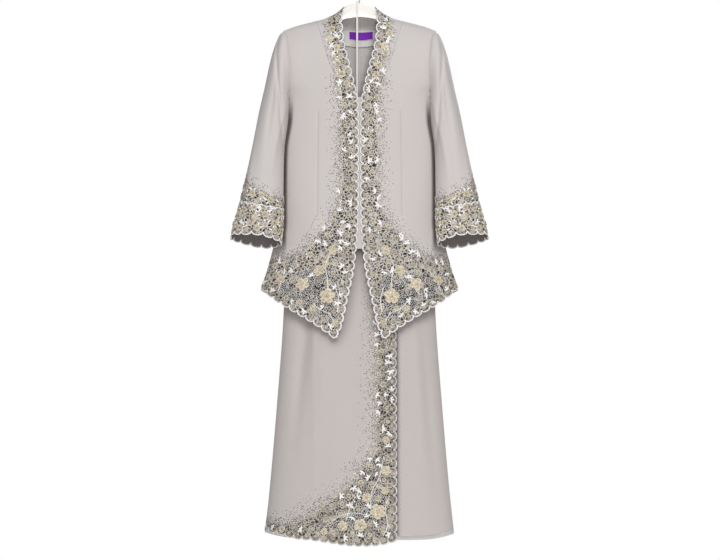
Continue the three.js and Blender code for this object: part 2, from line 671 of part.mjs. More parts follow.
buildFronts();
buildPlacket();
buildBack();
buildNeckInside();
buildSleeves();
buildSkirt();
buildWaistband();
buildRibbon();
buildHanger();
buildHook();

export default group;
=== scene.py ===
"""A kebaya set on its hanger: the jacket, the wrapped skirt, their lace and the hanger.

Lengths are millimetres until a mesh is made. Each cloth surface has a plane of its own,
(p, q): p runs round the body or the sleeve and q runs up, both close to the cloth's real
size. Outlines come from the front view's (x, z) and are laid out on that plane, and so is
the embroidery, which is then carried onto the surface.
"""
import math

import bpy
import numpy as np
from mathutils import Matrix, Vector
from mathutils.geometry import delaunay_2d_cdt


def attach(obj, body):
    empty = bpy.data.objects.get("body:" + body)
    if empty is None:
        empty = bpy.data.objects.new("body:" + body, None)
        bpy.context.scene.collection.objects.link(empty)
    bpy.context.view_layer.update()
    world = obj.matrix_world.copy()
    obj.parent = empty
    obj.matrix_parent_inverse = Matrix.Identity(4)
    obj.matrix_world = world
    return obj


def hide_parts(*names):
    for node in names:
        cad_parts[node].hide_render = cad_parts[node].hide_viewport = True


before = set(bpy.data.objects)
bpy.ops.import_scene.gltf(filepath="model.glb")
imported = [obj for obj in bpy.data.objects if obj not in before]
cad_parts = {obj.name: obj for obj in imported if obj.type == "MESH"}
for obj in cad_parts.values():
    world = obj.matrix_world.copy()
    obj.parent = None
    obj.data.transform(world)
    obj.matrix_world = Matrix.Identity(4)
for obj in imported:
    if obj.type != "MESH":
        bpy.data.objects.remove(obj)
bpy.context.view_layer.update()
MM = 0.001

# ------------------------------------------------------------------ sizes

CLOTH = 0.9              # wall of the plain cloth
LACE = 1.1               # wall of the lace's ground
LAYER = 3.0              # from the middle of one layer to the middle of the next
RIDGE_ROUND = 110.0      # height over which the shoulder rounds out to full depth
# The armhole's height, half its length down the side and half its opening, front to back.
ARMHOLE_MIDDLE, ARMHOLE_HALF, ARMHOLE_DEPTH = -214.0, 73.0, 34.0
SCALLOP_PITCH, SCALLOP_DEPTH = 22.5, 6.5
WAIST_TOP, WAISTBAND = -404.0, 30.0    # the waistband's top and its height
SKIRT_EDGE, SKIRT_WRAP = 92.0, -60.0   # the over panel's free edge and the under panel's
SEAM = 0.3               # gap between two cloths that are sewn together
BACK_MEETING = 0.05      # the same at the centre-back seam, to each side of the middle
PAST_SIDE, PAST_TOP = 330, -60    # beyond the jacket, where its sides and ridge trim an outline
PAST_SKIRT, SKIRT_TOP_HALF = 300, 290    # the same beside the skirt, and at its top
RIDGE_CLEAR = 8.0        # how near the shoulder's ridge embroidery may come
WIDTH = 190.0            # turns the plane's p into an angle round the body
SLEEVE_ROUND = 52.0      # the same round the sleeve
SIDE_REACH = 0.985       # how near the side seam embroidery may come
RAISE = LACE / 2         # embroidery starts at the top of the lace's ground
COVER_OUT, COVER_IN = 5.0, 11.0   # how far past the lace's inner line, and before it, it fades
UNDERARM_PRESS = 6.5     # how much further in the sleeve's cloth reaches under the arm
NET_CORD, NET_RISE = 0.4, 0.7     # half width and height of the net's cords
NET_TO_ROSETTE, NET_TO_EDGE = 7.5, 5.2    # how near the middles of the net's cells may come
TURN = 6.28              # a random direction lies between 0 and this
CHUNK = 4000             # points that are measured against a line in one go


class Table:
    """Rows of numbers with named columns, read smoothly against the first column."""

    def __init__(self, columns, rows):
        self.columns = columns.split()
        self.rows = np.array(rows, float)
        if self.rows[0, 0] > self.rows[-1, 0]:
            self.rows = self.rows[::-1]

    def read(self, name, key):
        keys, values = self.rows[:, 0], self.rows[:, self.columns.index(name)]
        slopes = np.empty_like(values)
        slopes[1:-1] = (values[2:] - values[:-2]) / (keys[2:] - keys[:-2])
        slopes[[0, -1]] = (values[[1, -1]] - values[[0, -2]]) / (keys[[1, -1]] - keys[[0, -2]])
        key = np.clip(np.asarray(key, float), keys[0], keys[-1])
        i = np.clip(np.searchsorted(keys, key, side="right") - 1, 0, len(keys) - 2)
        span = keys[i + 1] - keys[i]
        f = (key - keys[i]) / span
        return ((2 * f**3 - 3 * f**2 + 1) * values[i] + (f**3 - 2 * f**2 + f) * slopes[i] * span
                + (3 * f**2 - 2 * f**3) * values[i + 1] + (f**3 - f**2) * slopes[i + 1] * span)

    def named(self):
        """The rows as dictionaries."""
        return [dict(zip(self.columns, row)) for row in self.rows]


JACKET = Table("z half front back lens", [
    [-30, 191, 48, 48, 0.5],
    [-140, 191, 50, 50, 0.5],
    [-174, 181, 53, 52, 0.5],
    [-237, 175, 58, 54, 0.5],
    [-287, 182, 61, 54, 0.46],
    [-357, 187, 58, 51, 0.42],
    [-462, 190, 53, 47, 0.42],
    [-549, 194, 56, 50, 0.5],
    [-642, 207, 63, 57, 0.66],
    [-734, 229, 70, 63, 0.75],
    [-782, 245, 73, 66, 0.75],
    [-930, 262, 79, 72, 0.75],
])
RIDGE = Table("x z", [
    [0, -35], [10, -39], [20, -50], [30, -66], [35, -74], [40, -79.5], [49, -88], [59, -96],
    [78, -105.5], [89, -110], [113, -116], [159, -128], [191, -139.5], [200, -143],
])
SKIRT = Table("z half front back lens", [
    [-400, 155, 36, 34, 0.6],
    [-480, 168, 41, 38, 0.6],
    [-574, 177, 45, 42, 0.6],
    [-700, 184, 51, 47, 0.6],
    [-837, 189, 57, 52, 0.6],
    [-922, 194, 61, 56, 0.58],
    [-1062, 205, 66, 61, 0.56],
    [-1182, 215, 70, 65, 0.54],
    [-1302, 226, 74, 69, 0.52],
    [-1435, 241, 78, 73, 0.52],
])
# Soft folds: the deepest point, how far it drifts sideways for each millimetre down, half
# width, half length, and depth (minus is a trough).
FOLD_COLUMNS = "x z drift width length depth"
SKIRT_FRONT_FOLDS = Table(FOLD_COLUMNS, [
    [-140, -930, 0.10, 15, 190, -14],
    [-114, -900, 0.02, 6, 120, 4],
    [-114, -1140, 0.01, 8, 120, 2],
    [-96, -960, 0.03, 16, 190, 4],
    [-182, -900, 0.08, 14, 200, 6],
    [-20, -1020, 0.05, 26, 170, -4],
    [112, -1010, -0.02, 12, 320, -2],
    [148, -980, -0.06, 13, 200, 5],
    [176, -1120, -0.1, 12, 220, -4],
    [-60, -1330, 0.1, 26, 160, 3],
]).named()
SKIRT_BACK_FOLDS = Table(FOLD_COLUMNS, [
    [-120, -1050, 0.1, 22, 260, -5],
    [-70, -1180, 0.06, 22, 260, 4],
    [60, -980, -0.05, 24, 240, -4],
    [130, -1140, -0.1, 22, 260, 5],
]).named()
JACKET_FRONT_FOLDS = Table(FOLD_COLUMNS, [
    [-150, -760, 0.28, 20, 130, 5],
    [-105, -720, 0.12, 20, 110, -4],
    [150, -760, -0.28, 20, 130, 5],
    [105, -720, -0.12, 20, 110, -4],
]).named()
JACKET_BACK_FOLDS = Table(FOLD_COLUMNS, [
    [-120, -740, 0.2, 24, 140, 5],
    [-60, -720, 0.1, 22, 120, -4],
    [60, -720, -0.1, 22, 120, -4],
    [120, -740, -0.2, 24, 140, 5],
]).named()
# The right sleeve's slanted oval sections: outer and inner end in the front view, the middle
# of the depth and half of it.
SLEEVE_COLUMNS = "outerX outerZ innerX innerZ y deep"
SLEEVE_ROWS = np.array([
    [178, -151, 163, -277, 0, 32],
    [186, -143, 170, -284, 0, 40],
    [197, -147, 177, -291, 0, 45],
    [206, -164, 180.5, -299, 0, 50],
    [216, -191, 181.5, -312, 0, 54],
    [225, -226, 181.5, -334, -1, 56],
    [237, -283, 183, -366, -4, 55],
    [251, -345, 186, -410, -10, 52],
    [266, -422, 189, -464, -20, 47],
    [283, -503, 190, -527, -33, 40],
    [298, -569, 190, -587, -44, 33],
    [309, -607, 190, -624, -50, 29],
    [321, -660, 196, -682, -56, 25],
    [325, -690, 196, -712, -58, 25],
])
CUFF_SEAM_ROW = 10

# Lines in the front view. The jacket's and the cuffs' are those of the right-hand side.
NECK_EDGE = [[40, -76], [43.5, -93], [42, -126], [38.5, -166], [33, -190], [27, -211],
             [19.5, -240], [12, -272]]
OPENING_EDGE = [[12, -272], [5, -306], [2, -350], [2, -575], [4, -640], [7.5, -687],
                [14, -742], [24, -787], [34, -832], [45, -882], [61, -910]]
HEM_EDGE = [[61, -910], [95, -885], [139, -857], [182, -832], [219, -809], [245, -783],
            [262, -756]]
BAND_SEAM = [[110, -112], [98, -148], [85, -192], [71, -232], [52, -272]]
LACE_INNER = [[52, -272], [46, -306], [44, -400], [44, -520], [49, -575], [62, -600],
              [86, -640], [120, -672], [148, -700], [184, -714], [226, -722], [262, -724]]
BACK_COLLAR_SEAM = [[110, -112], [85, -122], [50, -130], [0, -134]]
BACK_COLLAR_TOP = [[40, -78], [20, -83], [0, -84.5]]
BACK_HEM = [[0, -842], [90, -838], [170, -822], [225, -800], [262, -778]]
CUFF_FRONT_EDGE = [[330, -648], [296, -650], [256, -649], [225, -657], [190, -672]]
CUFF_BACK_EDGE = [[330, -658], [296, -671], [256, -681], [225, -684], [190, -676]]
OVER_HEM = [[-250, -1384], [-235, -1388.5], [-161, -1407], [-115, -1411], [-34, -1423],
            [19, -1425], [60, -1421], [94, -1412]]
UNDER_HEM = [[-80, -1399], [104, -1399.5], [179, -1397.5], [204, -1392], [250, -1374]]
SKIRT_BACK_HEM = [[-250, -1386], [-216, -1400], [-153, -1410], [0, -1414], [153, -1414],
                  [216, -1404], [250, -1388]]
SKIRT_LACE_INNER = [[44, -430], [44, -800], [44, -1150], [34, -1196], [8, -1232], [-20, -1272],
                    [-60, -1304], [-100, -1330], [-145, -1362], [-200, -1378], [-250, -1376]]
JACKET_ROSETTES = [[58, -858, 11], [86, -828, 11], [122, -802, 11], [164, -788, 10],
                   [58, -806, 10], [92, -776, 10]]
SKIRT_ROSETTES = [[66, -1374, 11], [62, -1322, 11], [28, -1352, 11], [-12, -1384, 11],
                  [-62, -1380, 10]]
CUFF_ROSETTES = [[234, -630, 10], [282, -622, 10]]
GAP_ACROSS, GAP_ALONG, GAPS_IN_ROSETTE = 5.5, 8.5, 5
DARTS = [[[103, -342], [104, -400], [104.5, -470], [106, -600]]]

# ------------------------------------------------------------------ materials


class Value:
    """A shader socket that takes part in Python arithmetic."""

    def __init__(self, shader, socket):
        self.shader, self.socket = shader, socket

    def math(self, operation, first, second):
        return self.shader.node("ShaderNodeMath", {"operation": operation}, {0: first, 1: second})

    def __add__(self, other):
        return self.math("ADD", self, other)

    def __sub__(self, other):
        return self.math("SUBTRACT", self, other)

    def __rsub__(self, other):
        return self.math("SUBTRACT", other, self)

    def __mul__(self, other):
        return self.math("MULTIPLY", self, other)

    __radd__, __rmul__ = __add__, __mul__


class Shader:
    """One material: a Principled shader and the nodes that feed it."""

    def __init__(self, name, **sockets):
        self.material = bpy.data.materials.new(name)
        self.material.use_nodes = True
        self.tree = self.material.node_tree
        self.surface = next(n for n in self.tree.nodes if n.type == "BSDF_PRINCIPLED")
        for socket, value in sockets.items():
            self.surface.inputs[socket.replace("_", " ")].default_value = value

    def node(self, kind, settings=None, inputs=None, output=0):
        made = self.tree.nodes.new(kind)
        for key, value in (settings or {}).items():
            setattr(made, key, value)
        for key, value in (inputs or {}).items():
            if isinstance(value, Value):
                self.tree.links.new(value.socket, made.inputs[key])
            else:
                made.inputs[key].default_value = value
        return Value(self, made.outputs[output])

    def place(self):
        return self.node("ShaderNodeTexCoord", output="Object")

    def noise(self, scale, detail=2.0, stretch=(1, 1, 1)):
        where = self.node("ShaderNodeVectorMath", {"operation": "MULTIPLY"},
                          {0: self.place(), 1: tuple(scale * s for s in stretch)})
        return self.node("ShaderNodeTexNoise", {}, {"Vector": where, "Scale": 1.0, "Detail": detail})

    def cells(self, scale, feature):
        return self.node("ShaderNodeTexVoronoi", {"feature": feature},
                         {"Vector": self.place(), "Scale": scale})

    def attribute(self, name):
        return self.node("ShaderNodeAttribute", {"attribute_name": name}, output="Fac")

    def smooth(self, value, low, high):
        return self.node("ShaderNodeMapRange", {"interpolation_type": "SMOOTHSTEP"},
                         {0: value, 1: low, 2: high})

    def mix(self, factor, first, second):
        def colour(c):
            return c if isinstance(c, Value) else (*c, 1)
        return self.node("ShaderNodeMix", {"data_type": "RGBA"},
                         {0: factor, 6: colour(first), 7: colour(second)}, output=2)

    def paint(self, colour, roughness, height=None, depth=0.0003, strength=0.5):
        links = self.tree.links
        links.new(colour.socket, self.surface.inputs["Base Color"])
        links.new(roughness.socket, self.surface.inputs["Roughness"])
        if height:
            bump = self.node("ShaderNodeBump", {}, {"Height": height, "Distance": depth,
                                                    "Strength": strength})
            links.new(bump.socket, self.surface.inputs["Normal"])
        return self.material


JACKET_WARM, JACKET_COOL = (0.516, 0.474, 0.464), (0.506, 0.477, 0.464)
SKIRT_WARM, SKIRT_COOL = (0.468, 0.423, 0.410), (0.458, 0.427, 0.412)
# The second colour is painted shadow, laid over the cloth where the shade attribute is set.
LINING, PAINTED_SHADE = (0.76, 0.74, 0.73), (0.062, 0.047, 0.044)


def crepe(name, warm, cool, cord):
    """Fine matt crepe with a soft sheen and a faint warm and cool drift. Where it is covered, it is
    the lace's ground instead: cords over gaps painted dark, and painted darkest in the net's cells,
    as painted shade seen through the lace's openings. Where the shade attribute is set, painted
    shadow darkens it all."""
    shader = Shader(name, Sheen_Weight=0.15, Sheen_Roughness=0.45, Specular_IOR_Level=0.25)
    drift = shader.smooth(shader.noise(5, 2.0, (1.6, 1, 0.5)), 0.35, 0.65)
    grain = shader.noise(1500, 2.0)
    weave = shader.noise(900, 1.0, (1, 1, 0.25)) + shader.noise(900, 1.0, (0.25, 1, 1))
    speck = shader.mix(grain, tuple(0.93 * c for c in warm), tuple(1.05 * c for c in cool))
    cloth = shader.mix(0.35, shader.mix(drift, warm, cool), speck)

    mottle = shader.smooth(shader.noise(110, 2.0), 0.42, 0.62)
    cords = 1 - shader.smooth(shader.cells(115, "DISTANCE_TO_EDGE"), 0.06, 0.125)
    # Painted shade: the gaps between the ground's cords are painted dark for the shade in the lace's
    # openings.
    gaps = shader.mix(mottle, (0.012, 0.009, 0.008), (0.16, 0.128, 0.098))
    stitched = shader.mix(0.9 * cords, gaps, cord)
    cover = shader.smooth(shader.attribute("cover") + 0.8 * shader.noise(45, 2.0), 0.74, 0.86)
    colour = shader.mix(cover, cloth, stitched)
    # Painted shade: the net's cells are painted near-black for the shade seen through them.
    net = shader.attribute("net") * shader.smooth(shader.noise(55, 1.0), 0.39, 0.46)
    cutwork = shader.mix(mottle, (0.010, 0.008, 0.007), (0.035, 0.028, 0.024))
    colour = shader.mix(net, colour, cutwork)
    colour = shader.mix(shader.attribute("lining"), colour, LINING)
    # Painted shade: where the shade attribute is set, the cloth is painted dark for shadow.
    colour = shader.mix(shader.attribute("shade"), colour, PAINTED_SHADE)
    return shader.paint(colour, 0.62 + 0.12 * grain, weave + 3 * cords * cover, 0.00025, 0.35)


def thread(name, pale, dark, twist=900, **sockets):
    """Corded thread: two tones along the cord and a fine twist."""
    shader = Shader(name, **sockets)
    tone = shader.smooth(shader.noise(160, 2.0), 0.35, 0.65)
    strands = shader.noise(twist, 1.0, (1, 1, 0.4))
    shade = shader.attribute("tint")
    colour = shader.mix(tone * 0.3 + shade * 0.7, dark, pale)
    return shader.paint(colour, 0.35 + 0.3 * strands, strands, 0.0004, 0.6)


def sequin(name):
    """Gold-brown and silver sequins, by the tint of each."""
    shader = Shader(name, Metallic=0.75, Roughness=0.3)
    shade = shader.attribute("tint")
    colour = shader.mix(shade, (0.12, 0.10, 0.078), (0.66, 0.62, 0.56))
    return shader.paint(colour, 0.2 + 0.25 * shader.noise(300, 1.0), shader.noise(700, 1.0),
                        0.0002, 0.4)


def plain_weave(name, colour, second, scale=800, **sockets):
    shader = Shader(name, **sockets)
    weave = shader.noise(scale, 1.0, (1, 1, 0.2)) + shader.noise(scale, 1.0, (0.2, 1, 1))
    return shader.paint(shader.mix(shader.noise(40, 2.0), colour, second),
                        0.5 + 0.1 * shader.noise(200, 1.0), weave, 0.0003, 0.4)


def smooth_plastic(name):
    shader = Shader(name, Coat_Weight=0.3, Coat_Roughness=0.15)
    wear = shader.noise(60, 3.0)
    plain = shader.mix(wear, (0.725, 0.70, 0.645), (0.755, 0.735, 0.69))
    # Painted shade: the lower edge is painted beige-brown for the shade on the hanger's underside.
    return shader.paint(shader.mix(shader.attribute("underside_shade"), plain, (0.52, 0.455, 0.34)),
                        0.28 + 0.15 * wear, shader.noise(400, 2.0), 0.0001, 0.2)


def wire(name):
    shader = Shader(name, Metallic=1.0)
    rub = shader.noise(220, 3.0)
    return shader.paint(shader.mix(rub, (0.46, 0.37, 0.2), (0.6, 0.52, 0.34)), 0.22 + 0.25 * rub)


LOOKS = {
    "jacket": crepe("jacket_crepe", JACKET_WARM, JACKET_COOL, (0.53, 0.50, 0.465)),
    "skirt": crepe("skirt_crepe", SKIRT_WARM, SKIRT_COOL, (0.36, 0.335, 0.30)),
    "cord": thread("white_cord", (0.85, 0.835, 0.82), (0.42, 0.395, 0.375), Sheen_Weight=0.2),
    "thread": thread("grey_thread", (0.50, 0.47, 0.44), (0.06, 0.051, 0.044)),
    "petal": thread("cream_petals", (0.78, 0.69, 0.51), (0.15, 0.108, 0.066), 1200, Sheen_Weight=0.2),
    "leaf": thread("satin_leaves", (0.86, 0.85, 0.835), (0.62, 0.60, 0.575), 1500, Sheen_Weight=0.3),
    "sequin": sequin("sequins"),
    "facing": plain_weave("facing_weave", (0.62, 0.60, 0.58), (0.59, 0.58, 0.565)),
    "label": plain_weave("label_satin", (0.19, 0.009, 0.42), (0.15, 0.007, 0.35), 1400,
                         Specular_IOR_Level=0.2),
    "ribbon": plain_weave("ribbon_satin", (0.66, 0.64, 0.61), (0.60, 0.58, 0.555), 1600,
                          Sheen_Weight=0.4),
    "hanger": smooth_plastic("cream_plastic"),
    "wire": wire("brass_wire"),
}
EMBROIDERY = ["cord", "thread", "petal", "leaf", "sequin"]

# ------------------------------------------------------------------ plane geometry


def smooth_path(points, step=5.0):
    """A smooth line through a few points, with even steps."""
    points = np.array(points, float)
    ends = np.vstack([2 * points[0] - points[1], points, 2 * points[-1] - points[-2]])
    dense = []
    for a, b, c, d in zip(ends[:-3], ends[1:-2], ends[2:-1], ends[3:]):
        t = np.linspace(0, 1, 24, endpoint=False)[:, None]
        dense.append(0.5 * (2 * b + (c - a) * t + (2 * a - 5 * b + 4 * c - d) * t**2
                            + (3 * b - a - 3 * c + d) * t**3))
    dense = np.vstack([*dense, points[-1:]])
    return resample(dense, max(2, round(path_length(dense) / step)))


def path_length(path):
    return float(np.linalg.norm(np.diff(path, axis=0), axis=1).sum())


def resample(path, count):
    along = np.concatenate([[0], np.cumsum(np.linalg.norm(np.diff(path, axis=0), axis=1))])
    wanted = np.linspace(0, along[-1], count + 1)
    return np.stack([np.interp(wanted, along, path[:, axis]) for axis in (0, 1)], axis=1)


def sided(points, side):
    return np.array(points, float) * [side, 1]


def straight(start, end, count, side=1):
    """Even steps along a straight line, mirrored for the left side."""
    return resample(sided([start, end], side), count)


def scallop_arcs(points, side, depth=SCALLOP_DEPTH, pitch=SCALLOP_PITCH, steps=8):
    """Arcs along a line, one row each; their tips lie on the line and bulge to one side (1 is
    left of the way it runs)."""
    path = smooth_path(points, 1.0)
    count = max(1, round(path_length(path) / pitch))
    joins = resample(path, count)
    along = np.gradient(joins, axis=0)
    along /= np.linalg.norm(along, axis=1)[:, None]
    out = np.stack([-along[:, 1], along[:, 0]], axis=1) * side
    joins = joins - out * depth
    f = np.linspace(0, 1, steps + 1)[None, :, None]
    bulge = depth * (1 - np.abs(2 * f - 1) ** 2.4) ** 0.6 * 1.05
    return joins[:-1, None] * (1 - f) + joins[1:, None] * f + bulge * (
        out[:-1, None] * (1 - f) + out[1:, None] * f)


def arcs_outline(arcs):
    return np.vstack([arcs[:, :-1].reshape(-1, 2), arcs[-1:, -1]])


def chunks(points):
    return (points[start:start + CHUNK] for start in range(0, len(points), CHUNK))


def inside(points, polygon):
    """Which points lie inside a polygon."""
    if len(points) > CHUNK:
        return np.concatenate([inside(part, polygon) for part in chunks(points)])
    (ax, ay), (bx, by) = polygon.T, np.roll(polygon, -1, axis=0).T
    x, y = points[:, :1], points[:, 1:]
    crosses = (ay > y) != (by > y)
    rise = np.where(ay == by, 1, by - ay)
    return (crosses & (x < (bx - ax) * (y - ay) / rise + ax)).sum(axis=1) % 2 == 1


def distance(points, path):
    """How far each point lies from a line of points."""
    if len(points) > CHUNK:
        return np.concatenate([distance(part, path) for part in chunks(points)])
    (ax, ay), (ex, ey) = path[:-1].T, np.diff(path, axis=0).T
    dx, dy = points[:, :1] - ax, points[:, 1:] - ay
    t = np.minimum(np.maximum((dx * ex + dy * ey) / np.maximum(ex * ex + ey * ey, 1e-12), 0), 1)
    return np.sqrt(((dx - t * ex) ** 2 + (dy - t * ey) ** 2).min(axis=1))


def closed(polygon):
    return np.vstack([polygon, polygon[:1]])


def heading(angles):
    """A step of one along each direction."""
    return np.stack([np.cos(angles), np.sin(angles)], axis=-1)


def turned(points, angle):
    c, s = math.cos(angle), math.sin(angle)
    return points @ np.array([[c, s], [-s, c]])


def facing_up(polygon):
    """The polygon, running anticlockwise."""
    x, y = polygon[:, 0], polygon[:, 1]
    area = np.sum(x * np.roll(y, -1) - y * np.roll(x, -1))
    return polygon if area > 0 else polygon[::-1]


def triangulate(outline, holes, step, extra=()):
    """Points and triangles that fill an outline between its holes."""
    outline = facing_up(np.array(outline, float))
    low, high = outline.min(axis=0), outline.max(axis=0)
    rows = np.arange(low[1], high[1], step * 0.866)
    grid = np.array([(x + (step / 2 if i % 2 else 0), y) for i, y in enumerate(rows)
                     for x in np.arange(low[0], high[0], step)])
    if len(extra):
        extra = np.vstack(extra)
        near = [np.abs(part[:, None] - extra).sum(axis=2).min(axis=1) for part in chunks(grid)]
        grid = np.vstack([grid[np.concatenate(near) > step * 0.5], extra])
    grid = grid[inside(grid, outline)]
    grid = grid[distance(grid, closed(outline)) > step * 0.4]
    holes = [facing_up(hole) for hole in holes]
    for hole in holes:
        reach = np.abs(grid - hole.mean(axis=0)).max(axis=1) < step + np.ptp(hole, axis=0).max()
        close = np.zeros(len(grid), bool)
        close[reach] = inside(grid[reach], hole) | (distance(grid[reach], closed(hole)) < step * 0.25)
        grid = grid[~close]
    points, faces = [*outline], [list(range(len(outline)))]
    for hole in holes:
        faces.append(list(range(len(points), len(points) + len(hole))))
        points.extend(hole)
    points = np.vstack([points, grid])
    result = delaunay_2d_cdt([Vector(p) for p in points], [], faces, 1, 1e-4)
    triangles = np.array([face for face, origin in zip(result[2], result[5]) if origin == [0]])
    return np.array([tuple(p) for p in result[0]]), triangles


def net_cells(zone, rng, pitch=5.0):
    """The rounded cells of a fine net over a zone, as closed rings of places."""
    zone = np.array(zone, float)
    low, high = zone.min(axis=0), zone.max(axis=0)
    seeds = np.array([(x + (pitch / 2 if i % 2 else 0), y)
                      for i, y in enumerate(np.arange(low[1], high[1], pitch * 0.87))
                      for x in np.arange(low[0], high[0], pitch)])
    seeds = seeds + rng.uniform(-0.38, 0.38, seeds.shape) * pitch
    seeds = seeds[inside(seeds, zone)]
    points, _, triangles, *_ = delaunay_2d_cdt([Vector(p) for p in seeds], [], [], 0, 1e-4)
    points, triangles = np.array([tuple(p) for p in points]), np.array(triangles)
    middles = points[triangles].mean(axis=1)
    cells = []
    for seed in range(len(points)):
        around = middles[(triangles == seed).any(axis=1)]
        if len(around) < 4 or np.linalg.norm(around - points[seed], axis=1).max() > 1.1 * pitch:
            continue
        order = np.argsort(np.arctan2(*(around - points[seed]).T[::-1]))
        cells.append(resample(closed(around[order]), 7))
    return cells


def rosette_gaps(rosettes, side=1, turn_step=1.0):
    """The gaps of each rosette: a ring of rounded petals."""
    angle = np.linspace(0, 2 * math.pi, 8, endpoint=False)
    gaps = []
    for index, (x, z, ring) in enumerate(rosettes):
        for petal in range(GAPS_IN_ROSETTE):
            gap = np.stack([ring + GAP_ALONG / 2 * np.cos(angle),
                            GAP_ACROSS / 2 * np.sin(angle)], axis=1)
            gap = turned(gap, petal / GAPS_IN_ROSETTE * 2 * math.pi + index * turn_step)
            gaps.append((gap + [x, z]) * [side, 1])
    return gaps


# ------------------------------------------------------------------ cloth surfaces


def section(u, lens):
    return (1 - np.minimum(np.abs(u), 1) ** 2.4) ** lens


def fold_depth(folds, x, z):
    total = np.zeros_like(x)
    for fold in folds:
        offset = (x - fold["x"] + fold["drift"] * (fold["z"] - z)) / fold["width"]
        along = (z - fold["z"]) / fold["length"]
        total = total + fold["depth"] * np.exp(-offset**2 - along**2)
    return total


def ripple(x, z, seed):
    """A faint unevenness of hanging cloth."""
    rng = np.random.default_rng(seed)
    total = np.zeros_like(x)
    for _ in range(7):
        along, across = rng.uniform(-0.006, 0.006), rng.uniform(0.012, 0.045)
        total = total + np.sin(x * across + z * along + rng.uniform(0, TURN)) * rng.uniform(0.15, 0.45)
    return total


class Surface:
    """Carries places on a plane onto a cloth, and knows which way is out."""

    def __init__(self, point, out=1, reaches=None):
        self.point, self.out = point, out
        self.reaches = reaches or (lambda places: np.ones(len(places), bool))

    def slopes(self, p, q, step=0.4):
        across = (self.point(p + step, q) - self.point(p - step, q)) / (2 * step)
        upwards = (self.point(p, q + step) - self.point(p, q - step)) / (2 * step)
        return across, upwards

    def raised(self, p, q, height):
        across, upwards = self.slopes(p, q)
        normal = np.cross(across, upwards) * self.out
        normal /= np.maximum(np.linalg.norm(normal, axis=-1, keepdims=True), 1e-9)
        return self.point(p, q) + normal * np.asarray(height)[..., None]


def on_body(table, points):
    """The plane's places for places in the front view."""
    x, z = np.array(points, float).T
    u = np.clip(x / table.read("half", z), -1, 1)
    return np.stack([WIDTH * np.arcsin(u), z], axis=1)


def on_jacket(points):
    return on_body(JACKET, points)


def on_skirt(points):
    return on_body(SKIRT, points)


def clip_ridge(outline, gap=SEAM):
    """Keeps an outline on the cloth, below the shoulder's ridge."""
    u = np.sin(outline[:, 0] / WIDTH)
    x = np.abs(u * JACKET.read("half", outline[:, 1]))
    top = RIDGE.read("z", x) - gap
    return np.stack([outline[:, 0], np.minimum(outline[:, 1], top)], axis=1)


def body_surface(table, depth, side, seed, wave=1.0):
    def point(p, q):
        u = np.sin(np.clip(p / WIDTH, -math.pi / 2, math.pi / 2))
        x = u * table.read("half", q)
        full = section(u, table.read("lens", q))
        y = depth(u, x, q, full) + wave * ripple(x, q, seed) * full
        return np.stack([x, side * y, q + 0 * x], axis=-1)

    def reaches(places):
        return np.abs(places[:, 0]) < SIDE_REACH * WIDTH * math.pi / 2
    return Surface(point, -side, reaches)


def groove(x, z, line, width, depth):
    places = np.stack([np.ravel(x), np.ravel(z)], axis=1)
    return depth * np.exp(-(distance(places, line).reshape(np.shape(x)) / width) ** 2)


DART_LINES = [np.array(dart, float) for dart in DARTS]
SEAM_LINES = [*DART_LINES, np.array(BAND_SEAM, float)]


def eased(value, span):
    """A smooth step from 0, where the value is 0, to 1, where it is the span."""
    f = np.clip(value / span, 0, 1)
    return f * f * (3 - 2 * f)


def jacket_surface(side, inward=0.0, wave=1.0):
    full_column = "front" if side < 0 else "back"
    folds = JACKET_FRONT_FOLDS if side < 0 else JACKET_BACK_FOLDS

    def depth(u, x, z, full):
        up = np.abs(z - ARMHOLE_MIDDLE) / ARMHOLE_HALF
        reach = (1 - up**2 + np.sqrt((1 - up**2) ** 2 + 0.02)) / 2 * eased(1.25 - up, 0.25)
        edge = ARMHOLE_DEPTH * np.sqrt(reach) * eased(np.abs(u) - 0.45, 0.55)
        below = np.clip((RIDGE.read("z", np.abs(x)) - SEAM - z) / RIDGE_ROUND, 0, 1)
        rounding = np.sqrt(np.maximum(1 - (1 - below) ** 2, 0))
        y = edge + (JACKET.read(full_column, z) - edge) * full + fold_depth(folds, x, z) * full
        if wave:
            for line in SEAM_LINES if side < 0 else ():
                y = y - groove(np.abs(x), z, line, 1.6, 1.7)
        return np.maximum(y * rounding - inward, 0)

    surface = body_surface(JACKET, depth, side, 3 if side < 0 else 5, wave)
    sides = surface.reaches

    def reaches(places):
        return sides(places) & (places[:, 1] < clip_ridge(places, RIDGE_CLEAR)[:, 1] + 0.01)
    surface.reaches = reaches
    return surface


def skirt_surface(side, outward=0.0, seed=8, dip=0.0):
    full_column = "front" if side < 0 else "back"
    folds = SKIRT_FRONT_FOLDS if side < 0 else SKIRT_BACK_FOLDS

    def depth(u, x, z, full):
        beside = dip * np.exp(-((x - SKIRT_EDGE - 5) / 6) ** 2)
        return (SKIRT.read(full_column, z) + outward - beside + fold_depth(folds, x, z)) * full
    return body_surface(SKIRT, depth, side, seed)


# The sleeve's rows, against the distance down its middle.
SLEEVE_MIDDLES = (SLEEVE_ROWS[:, :2] + SLEEVE_ROWS[:, 2:4]) / 2
SLEEVE_DOWN = -np.concatenate([[0], np.cumsum(np.linalg.norm(np.diff(SLEEVE_MIDDLES, axis=0), axis=1))])
SLEEVE = Table("q " + SLEEVE_COLUMNS, np.column_stack([SLEEVE_DOWN, SLEEVE_ROWS]))
